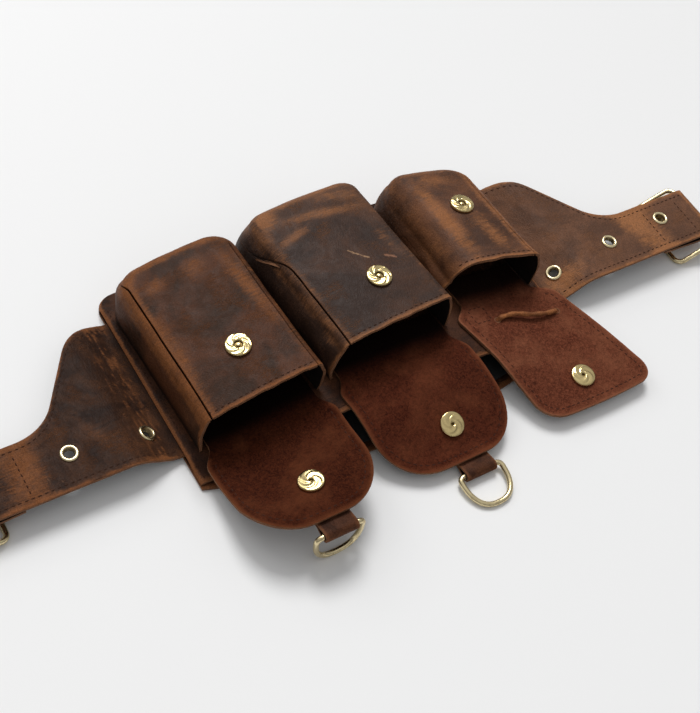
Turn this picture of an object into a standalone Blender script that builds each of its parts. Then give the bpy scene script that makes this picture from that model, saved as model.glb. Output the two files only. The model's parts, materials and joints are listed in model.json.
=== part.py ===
# Leather belt bag: a flat back pocket that lies on the floor, three hollow pouches with open flaps
# on its arched front wall, and two wings that end in folded loops with brass rings.
# +X runs along the belt, -Y is the side of the pouch mouths, +Z points up from the floor.
import math

import bmesh
import bpy
from mathutils import Matrix, Vector

MM = 0.001

# Leather and clearances
LEATHER = 2.0 * MM
TAB_LEATHER = 1.4 * MM
LINING = 0.6 * MM
GAP = 0.4 * MM
REST_GAP = 0.1 * MM
SLOPE_SPARE = 0.12 * MM
CURVE_SPARE = 0.15 * MM
CUT_DEPTH = 16.0 * MM
SHORT_STEP = 1.0 * MM

# Back pocket
SIDE_STRIP = 8.0 * MM
CORNER_EDGE = -67.0 * MM
FRONT_BOW = 19.0 * MM
HEM_EDGE = -65.0 * MM
FAR_SEAM = 8.0 * MM
FAR_RADIUS = 10.0 * MM
FRONT_RADIUS = 5.0 * MM
ARCH_RISE = 16.4 * MM
ARCH_POWER = 2.2
SEAM_CLEAR = 3.0 * MM
SEAM_RAMP = 12.0 * MM
LINING_INSET = 6.0 * MM
LINING_FAR = 24.0 * MM

# Pouches, left to right: sizes at the base, heights above the arch, places of the mouths and snaps;
# yaw turns the sides and skew turns the mouth and the far end
POUCHES = (
    {"width": 73.0 * MM, "length": 108.0 * MM, "depth": 27.5 * MM, "mouth": -47.5 * MM, "slant": 1.0 * MM,
     "corner": 15.0 * MM, "tilt": -7.0, "yaw": 2.0, "skew": 2.0, "snap_back": 31.0 * MM,
     "snap_side": 1.0 * MM},
    {"width": 82.0 * MM, "length": 105.0 * MM, "depth": 29.0 * MM, "mouth": -41.5 * MM, "slant": 3.5 * MM,
     "corner": 12.0 * MM, "tilt": 0.0, "yaw": 4.0, "skew": 4.0, "snap_back": 29.5 * MM,
     "snap_side": 6.0 * MM},
    {"width": 58.0 * MM, "length": 82.0 * MM, "depth": 28.5 * MM, "mouth": -23.0 * MM, "slant": 1.5 * MM,
     "corner": 14.0 * MM, "tilt": 5.0, "yaw": 2.5, "skew": -8.0, "snap_back": 45.5 * MM,
     "snap_side": 4.5 * MM},
)
POUCH_SPACES = (10.0 * MM, 14.0 * MM)
POUCH_PITCH = -0.5
POUCH_CROWN = 1.5 * MM
POUCH_BULGE = 2.5 * MM
EDGE_RADIUS = 4.0 * MM
EDGE_TURN = 6.5 * MM

# Flaps, left to right: place of the front edge, half widths outside the pouch, corners, snaps
FLAPS = (
    {"front": -119.5 * MM, "shift": 0.0 * MM, "half_back": 39.5 * MM, "half_front": 39.5 * MM,
     "corner": 29.0 * MM, "lift": 24.8 * MM, "snap_back": 21.0 * MM, "snap_side": 2.0 * MM},
    {"front": -114.5 * MM, "shift": 7.0 * MM, "half_back": 43.5 * MM, "half_front": 43.5 * MM,
     "corner": 28.0 * MM, "lift": 6.0 * MM, "snap_back": 20.5 * MM, "snap_side": 4.0 * MM},
    {"front": -116.5 * MM, "shift": 23.0 * MM, "half_back": 37.0 * MM, "half_front": 41.0 * MM,
     "corner": 13.0 * MM, "lift": 7.0 * MM, "snap_back": 17.5 * MM, "snap_side": 0.0 * MM},
)
FLAP_TUCK = 14.0 * MM
FLAP_ROOM = 1.6 * MM
FLAP_BOW = 2.0 * MM
FLAP_SPREAD = 12.0 * MM
FLAP_HOLD = 0.85

# Wings
WING_TUCK = 6.0 * MM
WING_RISE = 31.0 * MM
WING_LIFT = 11.5 * MM
WING_NEAR = -45.5 * MM
WING_WIDE = 96.5 * MM
WING_MARGIN = 18.5 * MM
STRAP_WIDTH = 38.0 * MM
SHOULDER_START = 9.0 * MM
SHOULDER_LENGTH = 75.0 * MM
SHOULDER_RADIUS = 30.0 * MM
SHOULDER_ANGLE = 56.0
WING_REACH = 129.5 * MM
FOLD_RETURN = 40.0 * MM

# Brass fittings
SNAP_RADIUS = 7.4 * MM
SNAP_HEIGHT = 2.2 * MM
SNAP_HOLE = 1.7 * MM
SNAP_DIMPLE = 1.1 * MM
SNAP_RIM = 0.5 * MM
EYELET_HOLE = 3.0 * MM
EYELET_BARREL = 3.7 * MM
EYELET_FLANGE = 5.2 * MM
EYELET_ROUND = 0.9 * MM
EYELET_END = 27.5 * MM
EYELET_PLACES = ({"out": 13.5 * MM, "y": -27.0 * MM}, {"out": 57.0 * MM, "y": -25.0 * MM},
                 {"out": WING_REACH - EYELET_END, "y": -22.5 * MM})
D_WIRE = 1.5 * MM
D_LENGTH = 28.0 * MM
D_DEPTH = 21.0 * MM
D_CORNER = 3.0 * MM
TAB_WIDTH = 20.0 * MM
TAB_REACH = 7.0 * MM
TAB_ROOT = 14.0 * MM
TAB_SIDES = (1.5 * MM, 5.0 * MM)
END_WIRE = 1.6 * MM
END_WIDTH = 30.0 * MM
END_SPARE = 4.0 * MM
END_CORNER = 5.0 * MM

# Lace across flap 3
LACE_RADIUS = 1.2 * MM
LACE_BACK = 27.5 * MM
LACE_FALL = 6.0 * MM
LACE_SPAN = 42.0 * MM
LACE_SIDE = 5.0 * MM
LACE_SLACK = 2.6 * MM
LACE_WAVE = 1.5 * MM

COLOURS = {
    "leather": ((0.105, 0.045, 0.026, 1.0), 0.55, 0.0),
    "suede": ((0.110, 0.032, 0.018, 1.0), 0.90, 0.0),
    "lining": ((0.012, 0.012, 0.013, 1.0), 0.85, 0.0),
    "brass": ((0.620, 0.480, 0.210, 1.0), 0.28, 1.0),
}


def smoothstep(low, high, value):
    share = min(max((value - low) / (high - low), 0.0), 1.0)
    return share * share * (3.0 - 2.0 * share)


def steps(low, high, count):
    return [low + (high - low) * i / count for i in range(count + 1)]


# Overall places, worked out from the sizes above
POCKET_HALF = SIDE_STRIP + (sum(p["width"] for p in POUCHES) + sum(POUCH_SPACES)) / 2.0
ARCH_HALF = POCKET_HALF - SIDE_STRIP
WING_FAR = WING_NEAR + WING_WIDE
FAR_EDGE = WING_FAR + WING_MARGIN
STRAP_FAR = WING_NEAR + STRAP_WIDTH
STRAP_MIDDLE = WING_NEAR + STRAP_WIDTH / 2.0
WING_BASE = LEATHER + GAP + LEATHER / 2.0
WING_TOP = WING_BASE + WING_LIFT
FOLD_X = POCKET_HALF + WING_REACH
FOLD_RADIUS = END_WIRE + GAP + LEATHER / 2.0
FOLD_Z = WING_TOP - FOLD_RADIUS
RETURN_SLOPE = math.asin((2.0 * FOLD_RADIUS - LEATHER - GAP) / FOLD_RETURN)


def new_material(name, kind):
    colour, roughness, metallic = COLOURS[kind]
    material = bpy.data.materials.new(name)
    material.use_nodes = True
    shader = material.node_tree.nodes["Principled BSDF"]
    shader.inputs["Base Color"].default_value = colour
    shader.inputs["Roughness"].default_value = roughness
    shader.inputs["Metallic"].default_value = metallic
    material.diffuse_color = colour
    return material


def add_object(name, mesh, kind, smooth=False):
    item = bpy.data.objects.new(name, mesh)
    bpy.context.collection.objects.link(item)
    mesh.materials.append(new_material(name, kind))
    if smooth:
        mesh.shade_smooth()
        mesh.set_sharp_from_angle(angle=math.radians(40.0))
    return item


def mesh_from(name, points, faces):
    mesh = bpy.data.meshes.new(name)
    mesh.from_pydata([tuple(p) for p in points], [], faces)
    mesh.validate()
    return mesh


def thicken(item, thickness, offset):
    layer = item.modifiers.new("Leather", "SOLIDIFY")
    layer.thickness = thickness
    layer.offset = offset
    layer.use_even_offset = True
    return item


def grid_sheet(name, rows, thickness, offset, kind):
    """A leather sheet over rows of points; the rows run so that its faces look up."""
    width = len(rows[0])
    points = [point for row in rows for point in row]
    faces = []
    for i in range(len(rows) - 1):
        for j in range(width - 1):
            corner = i * width + j
            faces.append((corner, corner + 1, corner + width + 1, corner + width))
    return thicken(add_object(name, mesh_from(name, points, faces), kind), thickness, offset)


def turned(name, profile, sides, kind, closed):
    """A solid turned about +Z from (radius, height) pairs that run from the bottom outwards to the top."""
    points = []
    for radius, height in profile:
        for k in range(sides):
            turn = 2.0 * math.pi * k / sides
            points.append(Vector((radius * math.cos(turn), radius * math.sin(turn), height)))
    faces = []
    bands = len(profile) if closed else len(profile) - 1
    for i in range(bands):
        for k in range(sides):
            a = i * sides + k
            b = i * sides + (k + 1) % sides
            c = ((i + 1) % len(profile)) * sides + (k + 1) % sides
            d = ((i + 1) % len(profile)) * sides + k
            faces.append((a, b, c, d))
    if not closed:
        faces.append(tuple(reversed(range(sides))))
        faces.append(tuple((len(profile) - 1) * sides + k for k in range(sides)))
    return add_object(name, mesh_from(name, points, faces), kind, smooth=True)


def wire_ring(name, path, radius, sides, kind):
    """A closed wire of round section along a flat loop of (x, y) points in the XY plane."""
    count = len(path)
    points = []
    for i in range(count):
        before, after = path[i - 1], path[(i + 1) % count]
        along = Vector((after[0] - before[0], after[1] - before[1], 0.0)).normalized()
        across = Vector((along.y, -along.x, 0.0))
        centre = Vector((path[i][0], path[i][1], 0.0))
        for k in range(sides):
            turn = 2.0 * math.pi * k / sides
            points.append(centre + across * radius * math.cos(turn) + Vector((0.0, 0.0, radius * math.sin(turn))))
    faces = []
    for i in range(count):
        for k in range(sides):
            a = i * sides + k
            b = i * sides + (k + 1) % sides
            c = ((i + 1) % count) * sides + (k + 1) % sides
            d = ((i + 1) % count) * sides + k
            faces.append((a, d, c, b))
    return add_object(name, mesh_from(name, points, faces), kind, smooth=True)


def seat_on(item, place, normal):
    """Put an object's origin at a place with its +Z along the normal."""
    turn = Vector((0.0, 0.0, 1.0)).rotation_difference(normal)
    item.matrix_world = Matrix.Translation(place) @ turn.to_matrix().to_4x4()


def surface_normal(height, x, y):
    """The upward normal of a surface z = height(x, y), from differences over a short step."""
    step = SHORT_STEP
    slope_x = (height(x + step, y) - height(x - step, y)) / (2.0 * step)
    slope_y = (height(x, y + step) - height(x, y - step)) / (2.0 * step)
    return Vector((-slope_x, -slope_y, 1.0)).normalized()


# Back pocket

def pocket_half_width(y):
    """Half the pocket's width at y, less in its rounded far corners."""
    beyond = y - (FAR_EDGE - FAR_RADIUS)
    if beyond <= 0.0:
        return POCKET_HALF
    beyond = min(beyond, FAR_RADIUS)
    return POCKET_HALF - FAR_RADIUS + math.sqrt(FAR_RADIUS ** 2 - beyond ** 2)


def back_front_edge(x):
    return CORNER_EDGE - FRONT_BOW * (1.0 - abs(x / POCKET_HALF) ** ARCH_POWER)


def arch_under(x, y):
    """Height of the front wall's underside: raised over the wing roots, arched in the middle."""
    beside_wing = smoothstep(WING_NEAR - SEAM_RAMP, WING_NEAR - SEAM_CLEAR, y)
    beside_wing *= 1.0 - smoothstep(WING_FAR + SEAM_RAMP - SEAM_CLEAR, WING_FAR + SEAM_RAMP, y)
    beside_wing *= smoothstep(FLAP_HOLD * ARCH_HALF, ARCH_HALF, abs(x))
    seam = LEATHER + GAP + (LEATHER + GAP) * beside_wing
    across = max(0.0, 1.0 - abs(x / ARCH_HALF) ** ARCH_POWER)
    back = min(max((y - HEM_EDGE) / (FAR_EDGE - FAR_SEAM - HEM_EDGE), 0.0), 1.0)
    return seam + ARCH_RISE * across * (1.0 - back * back)


def arch_top(x, y):
    """Height of the front wall's top, with a little more for its thickness on the slopes."""
    return arch_under(x, y) + LEATHER + SLOPE_SPARE


def make_back_panel():
    outline = []
    for k in range(5):
        turn = math.radians(22.5 * k)
        outline.append((POCKET_HALF - FAR_RADIUS + FAR_RADIUS * math.cos(turn),
                        FAR_EDGE - FAR_RADIUS + FAR_RADIUS * math.sin(turn)))
    far_arc = [(-x, y) for x, y in reversed(outline)]
    corner_y = CORNER_EDGE + FRONT_RADIUS
    near_arc = []
    for k in range(4):
        turn = math.radians(180.0 + 30.0 * k)
        near_arc.append((-POCKET_HALF + FRONT_RADIUS + FRONT_RADIUS * math.cos(turn),
                         corner_y + FRONT_RADIUS * math.sin(turn)))
    inner = POCKET_HALF - FRONT_RADIUS
    front = [(x, min(back_front_edge(x), CORNER_EDGE)) for x in steps(-inner, inner, 20)[1:-1]]
    outline += far_arc + near_arc + front + [(-x, y) for x, y in reversed(near_arc)]
    points = [Vector((x, y, 0.0)) for x, y in outline]
    mesh = mesh_from("back_panel", points, [tuple(range(len(points)))])
    return thicken(add_object("back_panel", mesh, "leather"), LEATHER, 1.0)


def make_pocket_lining():
    """Black cloth on the inside of the rear wall, short of the seams all round."""
    rows = []
    half = ARCH_HALF - LINING_INSET
    level = LEATHER + GAP
    for share in (0.0, 1.0):
        row = []
        for x in steps(-half, half, 12):
            near = back_front_edge(x) + LINING_INSET
            far = FAR_EDGE - LINING_FAR
            row.append(Vector((x, near + (far - near) * share, level)))
        rows.append(row)
    return grid_sheet("pocket_lining", rows, LINING, 1.0, "lining")


def make_pocket_front():
    levels = [HEM_EDGE] + steps(WING_NEAR - SEAM_RAMP, WING_NEAR - SEAM_CLEAR, 2)
    levels += steps(WING_NEAR + SEAM_RAMP, WING_FAR + SEAM_CLEAR, 5)
    levels += [FAR_EDGE - FAR_RADIUS + FAR_RADIUS * math.sin(math.radians(a)) for a in (0.0, 30.0, 60.0, 90.0)]
    edge = 1.0 - SIDE_STRIP / POCKET_HALF
    shares = [-1.0] + steps(-edge, edge, 14) + [1.0]
    rows = []
    for y in levels:
        half = pocket_half_width(y)
        rows.append([Vector((s * half, y, arch_under(s * half, y))) for s in shares])
    return grid_sheet("pocket_front", rows, LEATHER, 1.0, "leather")


# Pouches

def pouch_left(index):
    """World x of a pouch's left side at its base."""
    before = sum(p["width"] for p in POUCHES[:index]) + sum(POUCH_SPACES[:index])
    return -ARCH_HALF + before


def pouch_place(index, across, back):
    """World (x, y) of a point given across the pouch from its middle and back from its mouth."""
    pouch = POUCHES[index]
    turn = math.radians(pouch["yaw"])
    x = pouch_left(index) + pouch["width"] / 2.0 + across * math.cos(turn) - back * math.sin(turn)
    y = pouch["mouth"] + across * math.sin(math.radians(pouch["skew"])) + back * math.cos(turn)
    return x, y


def pouch_top(index, across, back):
    """Height of a pouch's top surface, with its tilt, pitch and crown."""
    pouch = POUCHES[index]
    x, y = pouch_place(index, 0.0, 0.0)
    share = across / (pouch["width"] / 2.0 - pouch["slant"])
    level = arch_top(x, y) + pouch["depth"] - math.tan(math.radians(pouch["tilt"])) * across
    level += math.tan(math.radians(POUCH_PITCH)) * back
    return level + POUCH_CROWN * max(0.0, 1.0 - share * share)


STRAIGHT_STEPS = 4
ARC_STEPS = 4
FAR_STEPS = 6


def pouch_path(index, inset, spread):
    """(across, back) points round the pouch's sides and far end, from its left to its right mouth corner."""
    pouch = POUCHES[index]
    half = pouch["width"] / 2.0 - pouch["slant"] * (1.0 - spread) - inset
    length = pouch["length"] + pouch["slant"] * spread - inset
    radius = pouch["corner"] - inset
    left = [(-half, back) for back in steps(0.0, length - radius, STRAIGHT_STEPS)]
    for k in range(1, ARC_STEPS + 1):
        turn = math.radians(90.0 * k / ARC_STEPS)
        left.append((-half + radius - radius * math.cos(turn), length - radius + radius * math.sin(turn)))
    far = [(across, length) for across in steps(-half + radius, half - radius, FAR_STEPS)[1:-1]]
    return left + far + [(-across, back) for across, back in reversed(left)]


def make_gusset(index):
    """The pouch's side and end wall, standing on the front wall and reaching up to the top's turned edge."""
    outer = pouch_path(index, 0.0, 1.0)
    inner = pouch_path(index, LEATHER, 1.0)
    bulge = pouch_path(index, -POUCH_BULGE, 0.5)
    top = pouch_path(index, 0.0, 0.0)
    foot_row, middle_row, top_row = [], [], []
    for low, low_in, middle, high in zip(outer, inner, bulge, top):
        x, y = pouch_place(index, *low)
        x_in, y_in = pouch_place(index, *low_in)
        foot = max(arch_top(x, y), arch_top(x_in, y_in)) + GAP
        x_top, y_top = pouch_place(index, *high)
        head = pouch_top(index, *high) - EDGE_TURN - GAP
        foot_row.append(Vector((x, y, foot)))
        middle_row.append(Vector((*pouch_place(index, *middle), (foot + head) / 2.0)))
        top_row.append(Vector((x_top, y_top, head)))
    name = f"pouch_gusset_{index + 1}"
    return grid_sheet(name, [top_row, middle_row, foot_row], LEATHER, -1.0, "leather")


def make_pouch_panel(index):
    """The pouch's top: a flat middle with its edge turned down to the gusset on three sides."""
    rim = []
    turns = (None, 0.0, 45.0, 90.0)
    for turn in turns:
        angle = math.radians(turn or 0.0)
        inset = EDGE_RADIUS * (1.0 - math.cos(angle))
        drop = EDGE_TURN if turn is None else EDGE_RADIUS * (1.0 - math.sin(angle))
        row = []
        for point, edge in zip(pouch_path(index, inset, 0.0), pouch_path(index, 0.0, 0.0)):
            x, y = pouch_place(index, *point)
            level = pouch_top(index, *(edge if inset == 0.0 else point)) - drop
            row.append(Vector((x, y, level)))
        rim.append(row)
    count = len(rim[0])
    points = [p for row in rim for p in row]
    faces = []
    for i in range(len(rim) - 1):
        for k in range(count - 1):
            a = i * count + k
            faces.append((a, a + count, a + count + 1, a + 1))
    last = STRAIGHT_STEPS + ARC_STEPS
    flat = pouch_path(index, EDGE_RADIUS, 0.0)
    ring = (len(rim) - 1) * count
    lines = []
    for i in range(last + 1):
        line = [ring + i]
        across, back = flat[i]
        for j in range(1, FAR_STEPS):
            if i == last:
                line.append(ring + last + j)
                continue
            inner = across + (-2.0 * across) * j / FAR_STEPS
            x, y = pouch_place(index, inner, back)
            line.append(len(points))
            points.append(Vector((x, y, pouch_top(index, inner, back))))
        line.append(ring + count - 1 - i)
        lines.append(line)
    for i in range(last):
        for j in range(FAR_STEPS):
            faces.append((lines[i][j], lines[i][j + 1], lines[i + 1][j + 1], lines[i + 1][j]))
    name = f"pouch_panel_{index + 1}"
    return thicken(add_object(name, mesh_from(name, points, faces), "leather"), LEATHER, -1.0)


# Flaps

def flap_middle(index, y):
    """World x of a flap's centre line, which leans from the pouch's middle to its own front."""
    start = flap_start(index)
    share = max(0.0, (start - y) / (start - FLAPS[index]["front"]))
    back = max(0.0, y - POUCHES[index]["mouth"])
    return pouch_place(index, 0.0, back)[0] + FLAPS[index]["shift"] * share


def flap_half(index, y):
    """Half a flap's width: narrow inside the pouch, full outside, before its front corners are rounded."""
    flap = FLAPS[index]
    start = flap_start(index)
    inside = POUCHES[index]["width"] / 2.0 - LEATHER - FLAP_ROOM
    share = min(max((start - y) / (start - flap["front"]), 0.0), 1.0)
    full = flap["half_back"] + (flap["half_front"] - flap["half_back"]) * share
    return inside + (full - inside) * smoothstep(0.0, FLAP_SPREAD, start - y)


def flap_start(index):
    """World y where a flap is clear of its pouch's walls and begins to spread."""
    pouch = POUCHES[index]
    return pouch["mouth"] - pouch["width"] / 2.0 * math.sin(abs(math.radians(pouch["skew"]))) - FLAP_ROOM


def flap_corner(index, side, turn):
    """A point of the flap's outline in its front corner; turn is 0 at the side and 90 at the front."""
    flap = FLAPS[index]
    angle = math.radians(turn)
    y = flap["front"] + flap["corner"] * (1.0 - math.sin(angle))
    full = flap_half(index, y)
    half = full - flap["corner"] * (1.0 - math.cos(angle))
    bow = FLAP_BOW * (1.0 - (half / full) ** 2)
    return Vector((flap_middle(index, y) + side * half, y - bow))


def flap_under(index, x, y):
    """Height of a flap's underside: on the front wall, then bending down past its hem."""
    flap = FLAPS[index]
    held = min(max(x, -FLAP_HOLD * ARCH_HALF), FLAP_HOLD * ARCH_HALF)
    if y >= HEM_EDGE:
        return arch_top(held, y) + GAP
    hem = arch_top(held, HEM_EDGE) + GAP
    share = smoothstep(HEM_EDGE, flap["front"], y)
    return hem + (flap["lift"] - hem) * share


def patch(near, far, left, right):
    """Rows of points between four edges that share their corners, near to far and left to right."""
    rows = []
    for i, (a, b) in enumerate(zip(left, right)):
        v = i / (len(left) - 1)
        row = []
        for j, (c, d) in enumerate(zip(near, far)):
            u = j / (len(near) - 1)
            corners = (near[0] * (1.0 - u) + near[-1] * u) * (1.0 - v) + (far[0] * (1.0 - u) + far[-1] * u) * v
            row.append(a * (1.0 - u) + b * u + c * (1.0 - v) + d * v - corners)
        rows.append(row)
    return rows


def make_flap(index):
    flap = FLAPS[index]
    back = POUCHES[index]["mouth"] + FLAP_TUCK
    start = flap_start(index)
    corner_start = flap["front"] + flap["corner"]
    levels = [corner_start] + [y for y in steps(corner_start, HEM_EDGE, 4) if y > corner_start + FLAP_ROOM]
    levels = [y for y in levels if y < start - FLAP_SPREAD - FLAP_ROOM] + steps(start - FLAP_SPREAD, start, 3)
    levels += [(start + back) / 2.0, back]
    left = [flap_corner(index, -1.0, turn) for turn in (45.0, 22.5)]
    right = [flap_corner(index, 1.0, turn) for turn in (45.0, 22.5)]
    left += [Vector((flap_middle(index, y) - flap_half(index, y), y)) for y in levels]
    right += [Vector((flap_middle(index, y) + flap_half(index, y), y)) for y in levels]
    near = [flap_corner(index, -1.0, turn) for turn in (45.0, 67.5, 90.0)]
    near += [Vector((flap_middle(index, flap["front"]), flap["front"] - FLAP_BOW))]
    near += [flap_corner(index, 1.0, turn) for turn in (90.0, 67.5, 45.0)]
    far = [left[-1] + (right[-1] - left[-1]) * share for share in steps(0.0, 1.0, 6)]
    rows = []
    for row in patch(near, far, left, right):
        rows.append([Vector((x, y, flap_under(index, x, y))) for x, y in row])
    return grid_sheet(f"flap_{index + 1}", rows, LEATHER, 1.0, "suede")


# Wings

def shoulder(out):
    """How far down the wing's far edge has come, from two arcs and the straight line between them."""
    angle = math.radians(SHOULDER_ANGLE)
    drop = WING_WIDE - STRAP_WIDTH
    sine, cosine = math.sin(angle), math.cos(angle)
    along = SHOULDER_LENGTH - SHOULDER_RADIUS * sine
    down = drop - SHOULDER_RADIUS * (1.0 - cosine)
    line = (down * sine - along * (1.0 - cosine)) / (sine * sine - cosine * (1.0 - cosine))
    second = (along - line * cosine) / sine
    if out <= 0.0:
        return 0.0
    if out < SHOULDER_RADIUS * sine:
        return SHOULDER_RADIUS - math.sqrt(SHOULDER_RADIUS ** 2 - out ** 2)
    if out < SHOULDER_RADIUS * sine + line * cosine:
        return SHOULDER_RADIUS * (1.0 - cosine) + (out - SHOULDER_RADIUS * sine) * sine / cosine
    rest = SHOULDER_LENGTH - out
    if rest <= 0.0:
        return drop
    return drop - (second - math.sqrt(second ** 2 - rest ** 2))


def wing_level(out):
    """Height of the middle of the wing's leather, out from the pocket's side."""
    return WING_BASE + WING_LIFT * smoothstep(GAP, WING_RISE, out)


def return_level(out):
    """Height of the middle of the leather that comes back under the wing from its fold."""
    end = WING_TOP - LEATHER - GAP
    return end - math.tan(RETURN_SLOPE) * (out - (WING_REACH - FOLD_RETURN))


def make_wing(name, side):
    """One wing with its folded end; side is -1 on the left and 1 on the right."""
    outs = [-WING_TUCK, 0.0] + steps(4.0 * MM, WING_RISE, 6)
    outs += steps(WING_RISE, SHOULDER_START + SHOULDER_LENGTH, 6)[1:]
    outs += steps(SHOULDER_START + SHOULDER_LENGTH, WING_REACH, 3)[1:]
    section = []
    for out in outs:
        far = WING_FAR - shoulder(out - SHOULDER_START)
        section.append((POCKET_HALF + out, wing_level(out), far))
    for turn in steps(math.radians(90.0), -math.radians(90.0) - RETURN_SLOPE, 8)[1:]:
        section.append((FOLD_X + FOLD_RADIUS * math.cos(turn), FOLD_Z + FOLD_RADIUS * math.sin(turn), STRAP_FAR))
    for out in steps(WING_REACH, WING_REACH - FOLD_RETURN, 4)[1:]:
        section.append((POCKET_HALF + out, return_level(out), STRAP_FAR))
    rows = []
    for x, z, far in section:
        rows.append([Vector((side * x, y, z)) for y in steps(WING_NEAR, far, 4)])
    if side > 0:
        rows.reverse()
    return grid_sheet(name, rows, LEATHER, 0.0, "leather")


def eyelet_profile(low, high):
    """Half section of an eyelet whose flanges face each other at the heights low and high."""
    edge = EYELET_ROUND / 2.0
    crest = (EYELET_FLANGE + EYELET_HOLE) / 2.0
    upper = [(EYELET_BARREL, high), (EYELET_FLANGE - edge / 2.0, high), (EYELET_FLANGE, high + edge),
             (crest, high + EYELET_ROUND), (EYELET_HOLE, high + edge)]
    lower = [(EYELET_BARREL, low), (EYELET_FLANGE - edge / 2.0, low), (EYELET_FLANGE, low - edge),
             (crest, low - EYELET_ROUND), (EYELET_HOLE, low - edge)]
    return list(reversed(lower)) + upper


def add_eyelets(wing, side, label):
    """Round holes through the wing and a turned brass eyelet in each."""
    cutters = bmesh.new()
    for number, spot in enumerate(EYELET_PLACES):
        x = side * (POCKET_HALF + spot["out"])
        place = Vector((x, spot["y"], wing_level(spot["out"])))
        normal = surface_normal(lambda px, py: wing_level(abs(px) - POCKET_HALF), x, spot["y"])
        high = LEATHER / 2.0 + GAP
        low = -high
        if spot["out"] > WING_REACH - FOLD_RETURN:
            low += return_level(spot["out"] + EYELET_FLANGE) - WING_TOP
        ring = turned(f"eyelet_{label}_{number + 1}", eyelet_profile(low, high), 12, "brass", closed=True)
        seat_on(ring, place, normal)
        turn = Vector((0.0, 0.0, 1.0)).rotation_difference(normal).to_matrix().to_4x4()
        bmesh.ops.create_cone(cutters, cap_ends=True, segments=16, radius1=EYELET_BARREL + GAP,
                              radius2=EYELET_BARREL + GAP, depth=CUT_DEPTH,
                              matrix=Matrix.Translation(place) @ turn)
    cut_with(wing, cutters, f"cutter_{label}")


def cut_with(item, shape, name):
    """Cut a bmesh shape out of an object; the cutter stays as a hidden wire guide."""
    mesh = bpy.data.meshes.new(name)
    shape.to_mesh(mesh)
    shape.free()
    cutter = bpy.data.objects.new(name, mesh)
    bpy.context.collection.objects.link(cutter)
    cutter.hide_render = True
    cutter.display_type = "WIRE"
    cut = item.modifiers.new("Holes", "BOOLEAN")
    cut.operation = "DIFFERENCE"
    cut.solver = "EXACT"
    cut.object = cutter


# Brass

def make_snap(name, hole):
    """A snap's cap: a low round disc with a sunk centre."""
    rim = SNAP_RIM
    profile = [(SNAP_RADIUS - rim, 0.0), (SNAP_RADIUS, rim), (SNAP_RADIUS, SNAP_HEIGHT - 2.0 * rim),
               (SNAP_RADIUS - rim, SNAP_HEIGHT - rim / 2.0), (hole + 2.0 * rim, SNAP_HEIGHT),
               (hole, SNAP_HEIGHT - rim / 2.0), (hole, SNAP_HEIGHT / 2.0)]
    return turned(name, profile, 18, "brass", closed=False)


def add_snaps(index):
    pouch = POUCHES[index]
    back = pouch["snap_back"]
    x, y = pouch_place(index, pouch["snap_side"], back)
    level = pouch_top(index, pouch["snap_side"], back)
    turn = math.radians(pouch["yaw"])
    step = SHORT_STEP
    slope_across = (pouch_top(index, pouch["snap_side"] + step, back)
                    - pouch_top(index, pouch["snap_side"] - step, back)) / (2.0 * step)
    slope_back = math.tan(math.radians(POUCH_PITCH))
    normal = Vector((-slope_across * math.cos(turn) + slope_back * math.sin(turn),
                     -slope_across * math.sin(turn) - slope_back * math.cos(turn), 1.0)).normalized()
    seat_on(make_snap(f"pouch_snap_{index + 1}", SNAP_HOLE), Vector((x, y, level)) + normal * GAP, normal)

    flap = FLAPS[index]
    y = flap["front"] + flap["snap_back"]
    x = flap_middle(index, y) + flap["snap_side"]

    def height(px, py):
        return flap_under(index, px, py)

    normal = surface_normal(height, x, y)
    place = Vector((x, y, height(x, y))) + normal * (LEATHER + GAP + CURVE_SPARE)
    seat_on(make_snap(f"flap_snap_{index + 1}", SNAP_DIMPLE), place, normal)


def d_path():
    """A D in its own plane: the straight bar on the X axis, the round side towards -Y."""
    half = D_LENGTH / 2.0
    path = [(x, 0.0) for x in steps(half - D_CORNER, -half + D_CORNER, 3)]
    for k in range(1, 4):
        turn = math.radians(90.0 + 30.0 * k)
        path.append((-half + D_CORNER + D_CORNER * math.cos(turn), -D_CORNER + D_CORNER * math.sin(turn)))
    depth = D_DEPTH - D_CORNER
    for k in range(1, 12):
        turn = math.radians(180.0 + 15.0 * k)
        path.append((half * math.cos(turn), -D_CORNER + depth * math.sin(turn)))
    path += [(-x, y) for x, y in reversed(path[4:7])]
    return path


def add_ring_tab(index):
    """A leather loop under a flap's front edge and the D-ring that swings in it."""
    flap = FLAPS[index]
    middle = flap_middle(index, flap["front"]) + TAB_SIDES[index]
    axis_y = flap["front"] - FLAP_BOW - TAB_REACH
    bend = D_WIRE + GAP + TAB_LEATHER / 2.0
    shut = TAB_LEATHER / 2.0 + GAP / 2.0
    under = min(flap_under(index, middle, y) for y in (flap["front"], axis_y + TAB_ROOT))
    axis_z = under - GAP - TAB_LEATHER / 2.0 - shut
    close = TAB_REACH - GAP
    touch = math.atan2(shut, close) + math.acos(bend / math.hypot(shut, close))
    section = [(TAB_ROOT, shut), (close, shut)]
    section += [(bend * math.cos(turn), bend * math.sin(turn)) for turn in steps(touch, 2.0 * math.pi - touch, 10)]
    section += [(close, -shut), (TAB_ROOT, -shut)]
    rows = []
    for back, up in section:
        rows.append([Vector((x, axis_y + back, axis_z + up))
                     for x in (middle + TAB_WIDTH / 2.0, middle - TAB_WIDTH / 2.0)])
    grid_sheet(f"ring_tab_{index + 1}", rows, TAB_LEATHER, 0.0, "leather")

    ring = wire_ring(f"d_ring_{index + 1}", d_path(), D_WIRE, 8, "brass")
    lowest = D_WIRE + REST_GAP
    tip = math.asin((axis_z - lowest) / D_DEPTH)
    ring.matrix_world = Matrix.Translation((middle, axis_y, axis_z)) @ Matrix.Rotation(tip, 4, "X")


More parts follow.
